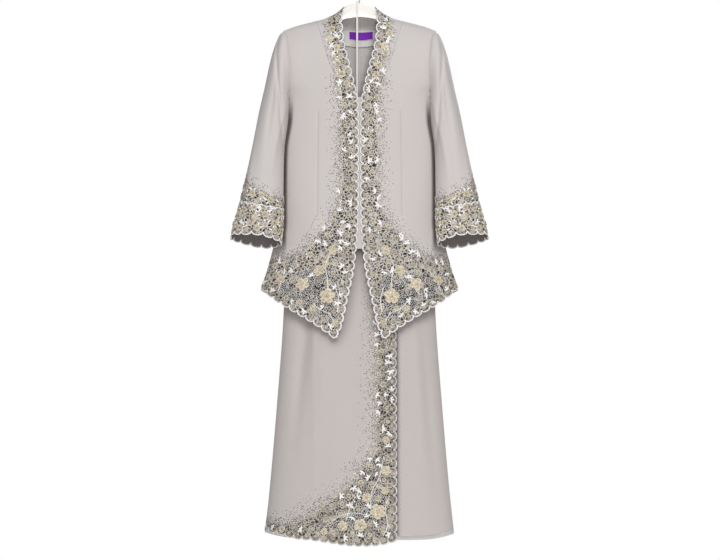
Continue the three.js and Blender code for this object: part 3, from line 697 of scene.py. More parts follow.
# How far above its seam the cuff's lace goes, from the sleeve's inner end (1) to its outer.
CUFF_TOP = [[1.0, 24], [0.7, 22], [0.45, 30], [0.25, 42], [0.0, 50]]
CUFF_SEAM = SLEEVE_DOWN[CUFF_SEAM_ROW]
SLEEVE_CREASES = Table("angle q turn width length depth", [
    [-75, -150, 0.02, 0.20, 110, -3.5],
    [-118, -190, -0.02, 0.16, 150, 2.5],
    [-40, -330, 0.03, 0.22, 120, 2.0],
    [-100, -330, 0.0, 0.18, 120, -2.0],
    [70, -240, 0.0, 0.22, 130, -3.0],
    [110, -330, 0.0, 0.2, 140, 2.0],
]).named()
SLEEVE_FOLD = smooth_path([[201, -150], [205, -180], [207, -210], [204, -251], [200, -306],
                           [194.5, -385], [188, -450]], 8)


def sleeve_ends(q):
    """The outer and the inner end of the right sleeve's section; under the arm the inner one
    rests against the body."""
    closer = UNDERARM_PRESS * eased(-q, 24) * eased(q + 210, 90)
    outer = np.stack([SLEEVE.read("outerX", q), SLEEVE.read("outerZ", q)], axis=-1)
    inner = np.stack([SLEEVE.read("innerX", q) - closer, SLEEVE.read("innerZ", q)], axis=-1)
    return outer, inner


def sleeve_surface(side):
    def point(p, q):
        angle = p / SLEEVE_ROUND
        outer, inner = sleeve_ends(q)
        middle, arm = (outer + inner) / 2, (outer - inner) / 2
        long = np.linalg.norm(arm, axis=-1)
        swell = np.zeros_like(long)
        for crease in SLEEVE_CREASES:
            turn = math.radians(crease["angle"]) + crease["turn"] * (q - crease["q"]) / 10
            gap = (angle - turn + math.pi) % (2 * math.pi) - math.pi
            swell = swell + crease["depth"] * np.exp(-(gap / crease["width"]) ** 2
                                                     - ((q - crease["q"]) / crease["length"]) ** 2)
        reach = np.cos(angle) * (1 + swell / np.maximum(long, 1))
        flat = middle + arm * reach[..., None]
        y = SLEEVE.read("y", q) + np.sin(angle) * (SLEEVE.read("deep", q) + swell)
        on_front = eased(-np.sin(angle), 0.3)
        y = y + on_front * groove(flat[..., 0], flat[..., 1], SLEEVE_FOLD, 4.5, 5.0)
        return np.stack([side * flat[..., 0], y, flat[..., 1]], axis=-1)
    return Surface(point, side)


def sleeve_place(surface, places, front, side):
    """The plane's places for places in the front view, on the front or the back half."""
    angles = np.linspace(-math.pi + 0.01, -0.01, 160) * (1 if front else -1)
    p, q = np.meshgrid(angles * SLEEVE_ROUND, np.linspace(CUFF_SEAM - 120, CUFF_SEAM + 60, 181))
    seen = surface.point(p, q)[..., [0, 2]].reshape(-1, 2) * [side, 1]
    flat = np.stack([p.ravel(), q.ravel()], axis=1)
    return np.array([flat[np.argmin(np.sum((seen - place) ** 2, axis=1))] for place in places])


# ------------------------------------------------------------------ making pieces


def make_mesh(name, points, faces, looks, attributes=None, face_looks=None, sharp=50):
    mesh = bpy.data.meshes.new(name)
    mesh.from_pydata((np.asarray(points) * MM).tolist(), [], [list(map(int, f)) for f in faces])
    for look in looks:
        mesh.materials.append(LOOKS[look])
    if face_looks is not None:
        mesh.polygons.foreach_set("material_index", np.asarray(face_looks, np.int32))
    for key, values in (attributes or {}).items():
        mesh.attributes.new(key, "FLOAT", "POINT").data.foreach_set(
            "value", np.asarray(values, np.float32))
    mesh.polygons.foreach_set("use_smooth", np.ones(len(mesh.polygons), bool))
    mesh.set_sharp_from_angle(angle=math.radians(sharp))
    mesh.update()
    piece = bpy.data.objects.new(name, mesh)
    bpy.context.scene.collection.objects.link(piece)
    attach(piece, "root")
    return piece


def shell(name, surface, plane, triangles, thickness, look, outside=None, within=None):
    """A closed thin wall over the plane's triangles, with attributes for its two sides."""
    p, q = plane[:, 0], plane[:, 1]
    outer = surface.raised(p, q, np.full(len(p), thickness / 2))
    inner = surface.raised(p, q, np.full(len(p), -thickness / 2))
    count = len(plane)
    order = triangles if surface.out > 0 else triangles[:, ::-1]
    edges = np.vstack([order[:, [0, 1]], order[:, [1, 2]], order[:, [2, 0]]])
    known = set(map(tuple, edges.tolist()))
    rim = np.array([(a, b) for a, b in edges.tolist() if (b, a) not in known])
    faces = [*order.tolist(), *(order[:, ::-1] + count).tolist(),
             *[[b, a, a + count, b + count] for a, b in rim.tolist()]]
    outside, within = outside or {}, within or {}
    both = {key: np.concatenate([outside.get(key, np.zeros(count)), within.get(key, np.zeros(count))])
            for key in {**outside, **within}}
    return make_mesh(name, np.vstack([outer, inner]), faces, [look], both)


class Pile:
    """Many small raised shapes on one surface, gathered into one mesh."""

    def __init__(self, surface):
        self.surface = surface
        self.points, self.faces, self.looks, self.tints, self.count = [], [], [], [], 0

    def add(self, p, q, height, faces, look, tint):
        """p, q and height have a row for each shape; the faces are those of one shape."""
        shapes, size = p.shape
        points = self.surface.raised(p, q, height).reshape(-1, 3)
        faces = np.array(faces)
        starts = (np.arange(shapes) * size + self.count)[:, None, None]
        self.faces.extend((faces[None] + starts).reshape(-1, faces.shape[1]).tolist())
        self.looks.append(np.full(shapes * len(faces), EMBROIDERY.index(look)))
        self.points.append(points)
        self.tints.append(np.broadcast_to(tint, p.shape).reshape(-1))
        self.count += len(points)

    def motif(self, template, places, angles, sizes, look, tints, lift=0.0):
        """Copies of a flat template (x, y, height and its own tint) at places on the plane."""
        shape, faces, own = template
        places, angles, sizes = (np.asarray(v, float) for v in (places, angles, sizes))
        across, upwards = self.surface.slopes(places[:, 0], places[:, 1])
        stretch = [np.maximum(np.linalg.norm(v, axis=1), 0.25) for v in (across, upwards)]
        c, s = np.cos(angles)[:, None], np.sin(angles)[:, None]
        x, y, h = (shape[:, i][None] * sizes[:, None] for i in range(3))
        p = places[:, :1] + (x * c - y * s) / stretch[0][:, None]
        q = places[:, 1:] + (x * s + y * c) / stretch[1][:, None]
        self.add(p, q, h + RAISE + lift, faces, look, np.asarray(tints)[:, None] * own[None])

    def cords(self, paths, half_width, height, look, tints, profile=5):
        """Raised cords along rows of places on the plane."""
        paths = np.asarray(paths, float)
        along = np.gradient(paths, axis=1)
        along /= np.maximum(np.linalg.norm(along, axis=2, keepdims=True), 1e-9)
        aside = np.stack([-along[..., 1], along[..., 0]], axis=-1)
        turn = np.linspace(-math.pi / 2, math.pi / 2, profile)
        offsets, heights = np.sin(turn) * half_width, np.cos(turn) * height
        places = paths[:, :, None] + aside[:, :, None] * offsets[None, None, :, None]
        steps = paths.shape[1]
        faces = [[i * profile + j, i * profile + j + 1, (i + 1) * profile + j + 1, (i + 1) * profile + j]
                 for i in range(steps - 1) for j in range(profile - 1)]
        shape = (len(paths), steps * profile)
        rise = np.broadcast_to(heights + RAISE, (len(paths), steps, profile)).reshape(shape)
        self.add(places[..., 0].reshape(shape), places[..., 1].reshape(shape), rise, faces, look,
                 np.asarray(tints)[:, None])

    def finish(self, name):
        faces = self.faces if self.surface.out > 0 else [face[::-1] for face in self.faces]
        return make_mesh(name, np.vstack(self.points), faces, EMBROIDERY,
                         {"tint": np.concatenate(self.tints)}, np.concatenate(self.looks), 80)


def strip_faces(rows, columns):
    return [[r * columns + c, r * columns + c + 1, (r + 1) * columns + c + 1, (r + 1) * columns + c]
            for r in range(rows - 1) for c in range(columns - 1)]


def petal_template(petals=5, inner=0.16, fullness=0.42):
    """Cupped petals round a centre, one unit in radius."""
    points, faces, tints = [], [], []
    for petal in range(petals):
        angle = petal / petals * 2 * math.pi
        start = len(points)
        for r in (inner, 0.45, 0.78, 1.0):
            half = fullness * math.sin(math.pi * (0.08 + 0.62 * r)) * (0.62 if r == 1.0 else 1)
            for side in (-1, 0, 1):
                x, y = r - 0.06 * abs(side) * (r > 0.9), side * half
                points.append((x * math.cos(angle) - y * math.sin(angle),
                               x * math.sin(angle) + y * math.cos(angle),
                               (0.05 + 0.15 * math.sin(math.pi * r * 0.85)) * (1 if side else 0.72)))
                tints.append(0.35 + 0.65 * r if side else 0.3 + 0.5 * r)
        faces += [[start + i for i in face] for face in strip_faces(4, 3)]
    return np.array(points), faces, np.array(tints)


def leaf_template():
    """A pointed satin leaf that starts at the origin, one unit long."""
    points, tints = [], []
    for r, half in ((0.0, 0.03), (0.25, 0.17), (0.55, 0.20), (0.82, 0.11), (1.0, 0.01)):
        for side in (-1, 0, 1):
            points.append((r, side * half, 0.03 + (0.0 if side else 0.12 * math.sin(math.pi * r))))
            tints.append(0.8 if side else 1.0)
    return np.array(points), strip_faces(5, 3), np.array(tints)


def dome_template(sides=6, height=0.5):
    turn = np.linspace(0, 2 * math.pi, sides, endpoint=False)
    points = [(0, 0, height), *[(math.cos(a), math.sin(a), 0.0) for a in turn]]
    faces = [[0, 1 + i, 1 + (i + 1) % sides] for i in range(sides)]
    return np.array(points), faces, np.array([1.0] + [0.8] * sides)


FLOWER, LEAF, BEAD = petal_template(), leaf_template(), dome_template()


def circles(places, radii, steps=11):
    ring = heading(np.linspace(0, 2 * math.pi, steps))
    return np.asarray(places)[:, None] + ring[None] * np.asarray(radii)[:, None, None]


def throw(rng, surface, low, high, accept, spacing, tries, taken=()):
    """Places at least a spacing apart, in space, from those already taken and each other."""
    places = rng.uniform(low, high, (tries, 2))
    places = places[accept(places)]
    where = surface.point(places[:, 0], places[:, 1])
    free = np.ones(len(places), bool)
    for spot, gap in taken:
        free &= np.linalg.norm(where - spot, axis=1) > (gap + spacing) / 2
    kept = []
    for index, spot in enumerate(where):
        if free[index]:
            kept.append(index)
            free &= np.linalg.norm(where - spot, axis=1) > spacing
    return places[kept].reshape(-1, 2), [*taken, *((where[index], spacing) for index in kept)]


def scallop_trim(pile, arcs, rng, bright=0.85, fan=True):
    """The pale corded scallops, their knots, and the ribbed fan that fills each."""
    middle = (arcs[:, 0] + arcs[:, -1]) / 2
    out = arcs[:, arcs.shape[1] // 2] - middle
    out /= np.linalg.norm(out, axis=1, keepdims=True)
    reached = pile.surface.reaches(middle - out * 8)
    arcs, middle, out = arcs[reached], middle[reached], out[reached]
    count = len(arcs)
    pile.cords(arcs - out[:, None] * 1.3, 1.5, 1.6, "cord", bright + rng.uniform(-0.1, 0.1, count))
    pile.motif(BEAD, arcs[:, 0] - out * 1.6, np.zeros(count), np.full(count, 2.2), "cord",
               np.full(count, bright))
    if not fan:
        return
    base = middle - out * 5.5
    along = arcs[:, -1] - arcs[:, 0]
    along /= np.linalg.norm(along, axis=1, keepdims=True)
    for turn in np.linspace(-1.35, 1.35, 7):
        way = out * math.cos(turn) + along * math.sin(turn)
        rib = base[:, None] + way[:, None] * np.linspace(3.6, 8.6, 3)[None, :, None]
        pile.cords(rib, 0.5, 0.8, "thread", rng.uniform(0.5, 1.0, count), 3)
    inner = (arcs - base[:, None]) * 0.74 + base[:, None]
    pile.cords(inner, 0.6, 0.9, "thread", rng.uniform(0.6, 1.0, count), 3)
    flower_bed(pile, rng, base, rng.uniform(3.2, 4.4, count))


def flower_bed(pile, rng, places, sizes):
    """Five-petalled flowers with a bead in the middle and one in each petal."""
    count = len(places)
    if not count:
        return
    turns, tints = rng.uniform(0, TURN, count), rng.uniform(0.3, 1.0, count)
    tints = np.where(sizes > 6, rng.uniform(0.8, 1.0, count), tints)
    pile.motif(FLOWER, places, turns, sizes, "petal", tints)
    pile.motif(BEAD, places, turns, np.clip(sizes * 0.2, 0.9, 2.4), "sequin", rng.uniform(0, 0.6, count))
    double = sizes > 9.8
    if double.any():
        pile.motif(FLOWER, places[double], turns[double] + 0.63, sizes[double] * 0.6, "petal",
                   np.ones(double.sum()), 2.2)
        pile.motif(BEAD, places[double], turns[double], sizes[double] * 0.13, "sequin",
                   rng.uniform(0.3, 0.8, double.sum()), 3.0)
    large = sizes > 5.5
    for petal in range(5):
        way = heading(turns[large] + petal * 2 * math.pi / 5) * sizes[large, None]
        vein = places[large, None] + way[:, None] * np.linspace(0.25, 0.8, 3)[None, :, None]
        pile.cords(vein, 0.5, 1.0 + 0.1 * sizes.max(), "thread", rng.uniform(0.1, 0.5, len(vein)), 3)


def sprays(pile, rng, places, short, long, look, most=5):
    """Leaves that open like a hand, from three to the most."""
    spots, angles = [], []
    for place in places:
        turn, number = rng.uniform(0, TURN), rng.integers(3, most + 1)
        spots += [place] * number
        angles += [turn + (index - (number - 1) / 2) * 1.0 for index in range(number)]
    if spots:
        pile.motif(LEAF, spots, angles, rng.uniform(short, long, len(spots)), look,
                   rng.uniform(0.7, 1.0, len(spots)))


def swirls(pile, rng, places, short, long):
    """Curled cords of grey thread."""
    f = np.linspace(0, 1, 8)
    angle = rng.uniform(0, TURN, len(places))[:, None] + f * rng.uniform(2.2, 4.4, len(places))[:, None]
    radius = rng.uniform(short, long, len(places))[:, None] * (1 - 0.4 * f)
    path = places[:, None] + heading(angle) * radius[..., None]
    pile.cords(path, 0.6, 0.9, "thread", rng.uniform(0.3, 1.0, len(places)), 3)


def embroider(pile, rng, outline, edge, inner, cloths, big=(), bare=(), stems=(), lines=(),
              spread=30.0):
    """Flowers, leaves, thread rings and sequins over a lace region.

    outline is the region, edge its scalloped line and inner the line where it fades out. All
    stays on the cloths and clear of the lines, and only sparse motifs go into the bare zones
    of the cutwork."""
    surface = pile.surface
    low, high = outline.min(axis=0) - spread, outline.max(axis=0) + spread

    def on_cloth(places):
        return np.any([inside(places, cloth) for cloth in (outline, *cloths)], axis=0)

    def within(margin, from_edge=9.0, everywhere=False):
        def accept(places):
            covered = inside(places, outline) | (distance(places, inner) < margin)
            kept = covered & (distance(places, edge) > from_edge) & surface.reaches(places)
            for zone in () if everywhere else bare:
                kept &= ~inside(places, zone)
            for line in lines:
                kept &= distance(places, line) > 8
            return kept & on_cloth(places)
        return accept

    taken = []
    big = np.array(big, float).reshape(-1, 3)
    if len(big):
        flower_bed(pile, rng, big[:, :2], big[:, 2])
        taken = [(spot, 1.7 * size)
                 for spot, size in zip(surface.point(big[:, 0], big[:, 1]), big[:, 2])]
    tries = int(abs(np.prod(high - low)) / 26)
    if bare:
        sparse, taken = throw(rng, surface, low, high, within(0, 14, True), 25.0, tries // 4, taken)
        flower_bed(pile, rng, sparse, rng.uniform(5.0, 8.0, len(sparse)))
        leaves, taken = throw(rng, surface, low, high, within(0, 12, True), 17.0, tries // 3, taken)
        sprays(pile, rng, leaves, 8.5, 12.5, "leaf", 4)
        pile.cords(circles(sparse, np.full(len(sparse), 9.5), 15), 0.6, 1.0, "cord",
                   rng.uniform(0.3, 1.0, len(sparse)), 3)
    medium, taken = throw(rng, surface, low, high, within(1, 13), 19.0, tries // 3, taken)
    flower_bed(pile, rng, medium, rng.uniform(7.0, 10.0, len(medium)))
    turns = rng.uniform(0, TURN, len(medium))
    for turn in (0, 0.9):
        pile.motif(LEAF, medium + 7.0 * heading(turns + turn), turns + turn,
                   rng.uniform(7.0, 10.0, len(medium)), "leaf", rng.uniform(0.8, 1.0, len(medium)))
    white, taken = throw(rng, surface, low, high, within(5, 13), 14.0, tries // 2, taken)
    sprays(pile, rng, white, 8.5, 12.5, "leaf", 4)
    small, taken = throw(rng, surface, low, high, within(5), 11.5, tries // 2, taken)
    flower_bed(pile, rng, small, rng.uniform(3.8, 5.2, len(small)))
    pile.cords(circles(small, np.full(len(small), 5.9)), 0.75, 1.0, "cord",
               rng.uniform(0.0, 1.0, len(small)), 3)
    grey, taken = throw(rng, surface, low, high, within(9), 11.5, tries // 2, taken)
    sprays(pile, rng, grey, 4.0, 7.0, "thread", 4)
    rings, taken = throw(rng, surface, low, high, within(5), 9.0, tries // 3, taken)
    pile.cords(circles(rings, rng.uniform(2.4, 3.6, len(rings)), 9), 0.65, 0.9, "thread",
               rng.uniform(0.5, 1.0, len(rings)), 3)
    pile.motif(BEAD, rings, np.zeros(len(rings)), np.full(len(rings), 1.2), "sequin",
               rng.uniform(0, 1, len(rings)))
    curls, _ = throw(rng, surface, low, high, within(5), 24.0, tries // 2)
    swirls(pile, rng, curls, 6.0, 11.0)
    for stem in stems:
        pile.cords([smooth_path(stem, 4.0)], 1.0, 2.6, "leaf", [1.0])
    scatter_sequins(pile, rng, rng.uniform(low, high, (tries * 6, 2)), outline, edge, inner, on_cloth,
                    spread)


def scatter_sequins(pile, rng, sequins, outline, edge, inner, on_cloth, spread):
    """Sequins, a few over the lace and a fading drift of them past its inner line."""
    away = distance(sequins, inner)
    covered = inside(sequins, outline)
    chance = np.where(covered, 0.12, 1.1 * np.exp(-away / (spread * 0.34)) * (away < spread * 1.4))
    keep = (rng.uniform(0, 1, len(sequins)) < chance) & (distance(sequins, edge) > 6)
    keep &= pile.surface.reaches(sequins) & on_cloth(sequins)
    sequins, covered = sequins[keep], covered[keep]
    bright = rng.uniform(0, 1, len(sequins)) ** np.where(covered, 1.0, 3.0)
    pile.motif(BEAD, sequins, np.zeros(len(sequins)), rng.uniform(0.95, 1.45, len(sequins)),
               "sequin", bright)


def cover_of(plane, outline, inner, net_zones=()):
    """How far the thread covers the cloth, and where the net is painted dark as painted shade."""
    deep = distance(plane, inner) * np.where(inside(plane, outline), 1, -1)
    net = np.zeros(len(plane))
    for zone in net_zones:
        reach = np.where(inside(plane, zone), distance(plane, closed(zone)), 0)
        net = np.maximum(net, np.clip(reach / 5.0, 0, 1))
    return {"cover": np.clip((deep + COVER_OUT) / (COVER_OUT + COVER_IN), 0, 1), "net": net}


def sheet(flat, share):
    """Works out the area of a hung cloth from the size of the rectangle it was cut from, in
    millimetres, and the share of that rectangle that it fills; nothing is done with the result."""
    width, length = flat[0] * MM, flat[1] * MM
    share * width * length


# ------------------------------------------------------------------ the jacket

SIDES = {"left": -1, "right": 1}
NET_ZONE = [[40, -800], [60, -748], [96, -724], [140, -742], [190, -762], [214, -786],
            [150, -822], [104, -852], [70, -874], [52, -858]]
JACKET_STEMS = [[[70, -690], [84, -724], [80, -760], [78, -790]],
                [[112, -738], [128, -752], [138, -770], [150, -800]],
                [[150, -728], [172, -740], [190, -760], [202, -790]],
                [[62, -870], [76, -846], [98, -836], [116, -820]],
                [[60, -780], [52, -812], [56, -842]]]
# Large flowers: the place in the front view and the radius.
BIG_FLOWERS = [[80, -802, 20], [142, -772, 17], [100, -738, 15], [60, -868, 10], [196, -762, 13],
               [66, -688, 13], [116, -834, 11]]
CHEST = [[110, -112], [175, -140], [165, -290], [52, -272]]


def outside_sleeve(points, side, clear=5.0):
    """Which points don't lie well inside the sleeve."""
    q = np.linspace(-17, CUFF_SEAM, 60)
    outer, inner = sleeve_ends(q)
    keep = np.ones(len(points), bool)
    seen = np.stack([points[:, 0] * side, points[:, 2]], axis=1)
    for a, b, y, deep in zip(outer, inner, SLEEVE.read("y", q), SLEEVE.read("deep", q)):
        arm = (a - b) / 2
        long = np.linalg.norm(arm)
        offset = seen - (a + b) / 2
        reach = (offset @ arm) / long
        off_plane = np.abs(offset @ np.array([-arm[1], arm[0]]) / long)
        within = (reach / (long - clear)) ** 2 + ((points[:, 1] - y) / (deep - clear)) ** 2 < 1
        keep &= ~(within & (off_plane < 6))
    return keep


def trim_at_sleeve(surface, plane, triangles, side):
    """Cuts away the body's cloth where it would show inside the sleeve."""
    keep = outside_sleeve(surface.point(plane[:, 0], plane[:, 1]), side)
    triangles = triangles[keep[triangles].any(axis=1)]
    used = np.unique(triangles)
    renumber = np.full(len(plane), -1)
    renumber[used] = np.arange(len(used))
    return plane[used], renumber[triangles]


def seam_points(side):
    """Places along the stitched lines of one front and a little to each side of them."""
    return [on_jacket(smooth_path(line + [aside, 0], 4) * [side, 1])
            for line in SEAM_LINES for aside in (-3.2, -1.6, 0.0, 1.6, 3.2)]


def painted_shade_beside_sleeve(surface, plane):
    """Painted shade: how dark the cloth is painted in the narrow gap between the body and the hanging
    sleeve, for the shadow there.
    """
    spots = np.abs(surface.point(plane[:, 0], plane[:, 1]))
    inner = sleeve_ends(np.linspace(-20, CUFF_SEAM - 60, 60))[1][::-1]
    edge = np.interp(-spots[:, 2], inner[:, 1], inner[:, 0])
    gap = (1 - eased(edge - 5 - spots[:, 0], 8)) * eased(spots[:, 2] - 290, 75)
    return 0.93 * gap * eased(715 - spots[:, 2], 60)


def front_lines(side):
    """One front's scallops, its lace's inner line, and the lace's region on the plane."""
    inner = smooth_path(sided(LACE_INNER, side))
    arcs = np.concatenate([scallop_arcs(sided(line, side), -side)
                           for line in (OPENING_EDGE, HEM_EDGE)])
    return arcs, inner, on_jacket(np.vstack([arcs_outline(arcs), inner[::-1] + [0, -SEAM]]))


def front_outline(side, inner):
    """A plain front on the plane, from the band's seam and the lace's inner line to its side."""
    return clip_ridge(on_jacket(np.vstack([
        smooth_path(sided(BAND_SEAM, side)), inner[1:],
        straight((262, -724), (PAST_SIDE, -724), 3, side),
        straight((PAST_SIDE, -720), (PAST_SIDE, PAST_TOP), 110, side)[1:],
        straight((PAST_SIDE, PAST_TOP), (110, PAST_TOP), 44, side)[1:]])))


def build_front(name, side):
    surface = jacket_surface(-1)
    _, inner, lace = front_lines(side)
    plane, triangles = triangulate(front_outline(side, inner), [], 6.5, seam_points(side))
    plane, triangles = trim_at_sleeve(surface, plane, triangles, side)
    front = shell(f"front_{name}_cloth", surface, plane, triangles, CLOTH, "jacket",
                  {**cover_of(plane, lace, on_jacket(inner)), "shade": painted_shade_beside_sleeve(surface, plane)})
    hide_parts(f"front_{name}")
    sheet((200, 620), 0.68)


def build_front_lace(name, side):
    surface = jacket_surface(-1)
    arcs, inner, outline = front_lines(side)
    edge_plane, inner_plane = on_jacket(arcs_outline(arcs)), on_jacket(inner)
    net = on_jacket(sided(NET_ZONE, side))
    rng = np.random.default_rng(11)
    gaps = [on_jacket(gap) for gap in rosette_gaps(JACKET_ROSETTES, side)]
    cells = clear_cells([on_jacket(cell * [side, 1]) for cell in net_cells(NET_ZONE, rng)],
                        gaps, outline)
    plane, triangles = triangulate(outline, gaps, 6.5)
    lace = shell(f"front_lace_{name}_ground", surface, plane, triangles, LACE, "jacket",
                 cover_of(plane, outline, inner_plane, [net]))
    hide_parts(f"front_lace_{name}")

    pile = Pile(surface)
    scallop_trim(pile, np.stack([on_jacket(arc) for arc in arcs]), rng)
    big = np.array(BIG_FLOWERS, float)
    big[:, :2] = on_jacket(big[:, :2] * [side, 1])
    band = on_jacket(np.vstack([smooth_path(sided(line, side))[::step]
                                for line, step in ((NECK_EDGE, 1), (BAND_SEAM, -1))]))
    embroider(pile, rng, outline, edge_plane, inner_plane, [front_outline(side, inner), band], big,
              [net], [on_jacket(sided(stem, side)) for stem in JACKET_STEMS])
    gap_rings(pile, rng, gaps)
    net_cords(pile, rng, cells)
    flowers = pile.finish(f"front_lace_{name}_embroidery")
    sheet((260, 660), 0.38)


def clear_cells(cells, gaps, outline):
    """The net's cells that lie clear of the rosettes and of the region's edge."""
    cells = np.array(cells)
    middles, edge = cells.mean(axis=1), closed(facing_up(outline))
    centres = np.array([gap.mean(axis=0) for gap in gaps])
    near = np.linalg.norm(middles[:, None] - centres, axis=2).min(axis=1) < NET_TO_ROSETTE
    return cells[~near & inside(middles, outline) & (distance(middles, edge) > NET_TO_EDGE)]


def net_cords(pile, rng, cells):
    pile.cords(cells, NET_CORD, NET_RISE, "cord", rng.uniform(0.3, 1.0, len(cells)), 3)


def gap_rings(pile, rng, gaps):
    """A corded ring round each gap of the cutwork rosettes."""
    rings = np.stack([closed(gap.mean(axis=0) + (gap - gap.mean(axis=0)) * 1.3) for gap in gaps])
    pile.cords(rings, 0.7, 1.0, "cord", rng.uniform(0.3, 0.8, len(rings)), 3)


def build_collar_band(name, side):
    surface = jacket_surface(-1)
    seam = smooth_path(sided(BAND_SEAM, side))
    arcs = scallop_arcs(sided(NECK_EDGE, side), -side)
    edge = arcs_outline(arcs)
    outline = clip_ridge(on_jacket(np.vstack([edge, seam[::-1] + [-SEAM * side, SEAM],
                                              straight((110, -100), (42, -60), 14, side)])))
    edge_plane = on_jacket(edge)
    plane, triangles = triangulate(outline, [], 5.0, seam_points(side))
    rng = np.random.default_rng(23)
    lace_side = on_jacket(smooth_path(sided(NECK_EDGE, side) + [34 * side, 0]))
    lace_outline = clip_ridge(np.vstack([edge_plane, lace_side[::-1]]))
    band = shell(f"collar_band_{name}_ground", surface, plane, triangles, LACE, "jacket",
                 cover_of(plane, lace_outline, lace_side))
    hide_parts(f"collar_band_{name}")

    pile = Pile(surface)
    scallop_trim(pile, np.stack([on_jacket(arc) for arc in arcs]), rng)
    embroider(pile, rng, lace_outline, edge_plane, lace_side,
              [outline, on_jacket(sided(CHEST, side))], spread=20)
    flowers = pile.finish(f"collar_band_{name}_embroidery")
    sheet((100, 200), 0.5)


def both_halves(line):
    """A line's right half and then its mirrored left half, run the other way."""
    return np.vstack([line, (line * [-1, 1])[::-1]])


def build_collar_back():
    surface = jacket_surface(1)
    seam, top = smooth_path(BACK_COLLAR_SEAM), smooth_path(BACK_COLLAR_TOP)
    half = np.vstack([seam[::-1], straight((110, -100), (42, -60), 14)[1:], top])
    outline = clip_ridge(on_jacket(np.vstack([half[:-1], (half * [-1, 1])[::-1][:-1]])))
    plane, triangles = triangulate(outline, [], 5.0)
    collar = shell("collar_back_ground", surface, plane, triangles, LACE, "jacket",
                   {"cover": np.ones(len(plane))})
    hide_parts("collar_back")
    pile = Pile(surface)
    embroider(pile, np.random.default_rng(29), outline, on_jacket(both_halves(top)),
              on_jacket(both_halves(seam)), [], spread=12)
    flowers = pile.finish("collar_back_embroidery")
    sheet((260, 60), 0.75)


def build_back(name, side):
    surface = jacket_surface(1)
    outline = clip_ridge(on_jacket(np.vstack([
        straight((BACK_MEETING, -134.3), (BACK_MEETING, -842), 110, side)[:-1],
        smooth_path(sided(BACK_HEM, side)),
        straight((262, -778), (PAST_SIDE, -770), 8, side)[1:],
        straight((PAST_SIDE, -770), (PAST_SIDE, PAST_TOP), 110, side)[1:],
        straight((PAST_SIDE, PAST_TOP), (110, PAST_TOP), 44, side)[1:],
        (smooth_path(sided(BACK_COLLAR_SEAM, side)) + [0, -SEAM])[1:-1]])))
    plane, triangles = triangulate(outline, [], 8.0)
    plane, triangles = trim_at_sleeve(surface, plane, triangles, side)
    back = shell(f"back_{name}_cloth", surface, plane, triangles, CLOTH, "jacket")
    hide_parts(f"back_{name}")
    sheet((260, 740), 0.85)


def box_region(x0, x1, z0, z1):
    corners = [(x0, z0), (x1, z0), (x1, z1), (x0, z1)]
    return np.vstack([straight(start, end, 12)[:-1]
                      for start, end in zip(corners, corners[1:] + corners[:1])])


def build_inside():
    """The placket behind the fronts, the neck facing and its blank label."""
    facing = np.vstack([smooth_path([[-66, -136], [66, -136]]), smooth_path(
        [[66, -137], [60, -166], [0, -178], [-60, -166], [-66, -137]])[:-1]])
    label = np.vstack([smooth_path([[-25, -158], [4, -161], [33, -158]]),
                       smooth_path([[33, -140], [4, -142], [-25, -140]])])
    pieces = [
        ("placket_strip", jacket_surface(-1, LAYER, 0.5), box_region(-12, 14, -684, -306),
         "jacket", "facing_cloth", "front_placket", (28, 382), 0.97),
        ("neck_facing_cloth", jacket_surface(1, 1.7 * LAYER, 0.5), facing,
         "facing", "facing_cloth", "neck_facing", (136, 50), 0.8),
        ("neck_label_tab", jacket_surface(1, 2.7 * LAYER, 0.5), label,
         "label", "label_cloth", "neck_label", (60, 21), 0.98),
    ]
    for name, surface, region, look, slot, node, flat, share in pieces:
        plane, triangles = triangulate(on_jacket(region), [], 6.0)
        piece = shell(name, surface, plane, triangles, CLOTH, look)
        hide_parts(node)
        sheet(flat, share)


# ------------------------------------------------------------------ the sleeves

# Each half of a cuff: whether it is the front, its lower edge and the seed of its embroidery.
CUFF_HALVES = {"front": (True, CUFF_FRONT_EDGE, 41), "back": (False, CUFF_BACK_EDGE, 43)}
CUFF_SIDE_GAP = 0.6      # from a cuff half's end to the sleeve's inner or outer fold


def tube(name, surface, q_from, q_to, rows, columns, thickness, look, cover):
    """A whole sleeve tube as a closed thin wall."""
    turn = np.linspace(-math.pi, math.pi, columns, endpoint=False) * SLEEVE_ROUND
    p, q = np.meshgrid(turn, np.linspace(q_from, q_to, rows))
    outer = surface.raised(p, q, np.full(p.shape, thickness / 2)).reshape(-1, 3)
    inner = surface.raised(p, q, np.full(p.shape, -thickness / 2)).reshape(-1, 3)
    count, faces = rows * columns, []
    for r in range(rows - 1):
        for c in range(columns):
            a, b = r * columns + c, r * columns + (c + 1) % columns
            faces += [[a, a + columns, b + columns, b],
                      [a + count, b + count, b + columns + count, a + columns + count]]
    for c in range(columns):
        a, b = c, (c + 1) % columns
        faces.append([a, b, b + count, a + count])
        a, b = a + (rows - 1) * columns, b + (rows - 1) * columns
        faces.append([a, a + count, b + count, b])
    if surface.out < 0:
        faces = [face[::-1] for face in faces]
    return make_mesh(name, np.vstack([outer, inner]), faces, [look],
                     {"cover": np.concatenate([cover(p.ravel(), q.ravel()), np.zeros(p.size)])})


def cuff_cover(p, q):
    """How far the thread covers the sleeve above its cuff."""
    part = np.abs(p) / (math.pi * SLEEVE_ROUND)
    top = np.interp(part, *np.array(CUFF_TOP[::-1]).T)
    return np.clip((CUFF_SEAM + top + COVER_OUT - q) / (COVER_OUT + COVER_IN), 0, 1)


def build_sleeve(name, side):
    sleeve = tube(f"sleeve_{name}_cloth", sleeve_surface(side), 0, CUFF_SEAM, 110, 110, CLOTH,
                  "jacket", cuff_cover)
    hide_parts(f"sleeve_{name}")
    sheet((400, 480), 0.56)


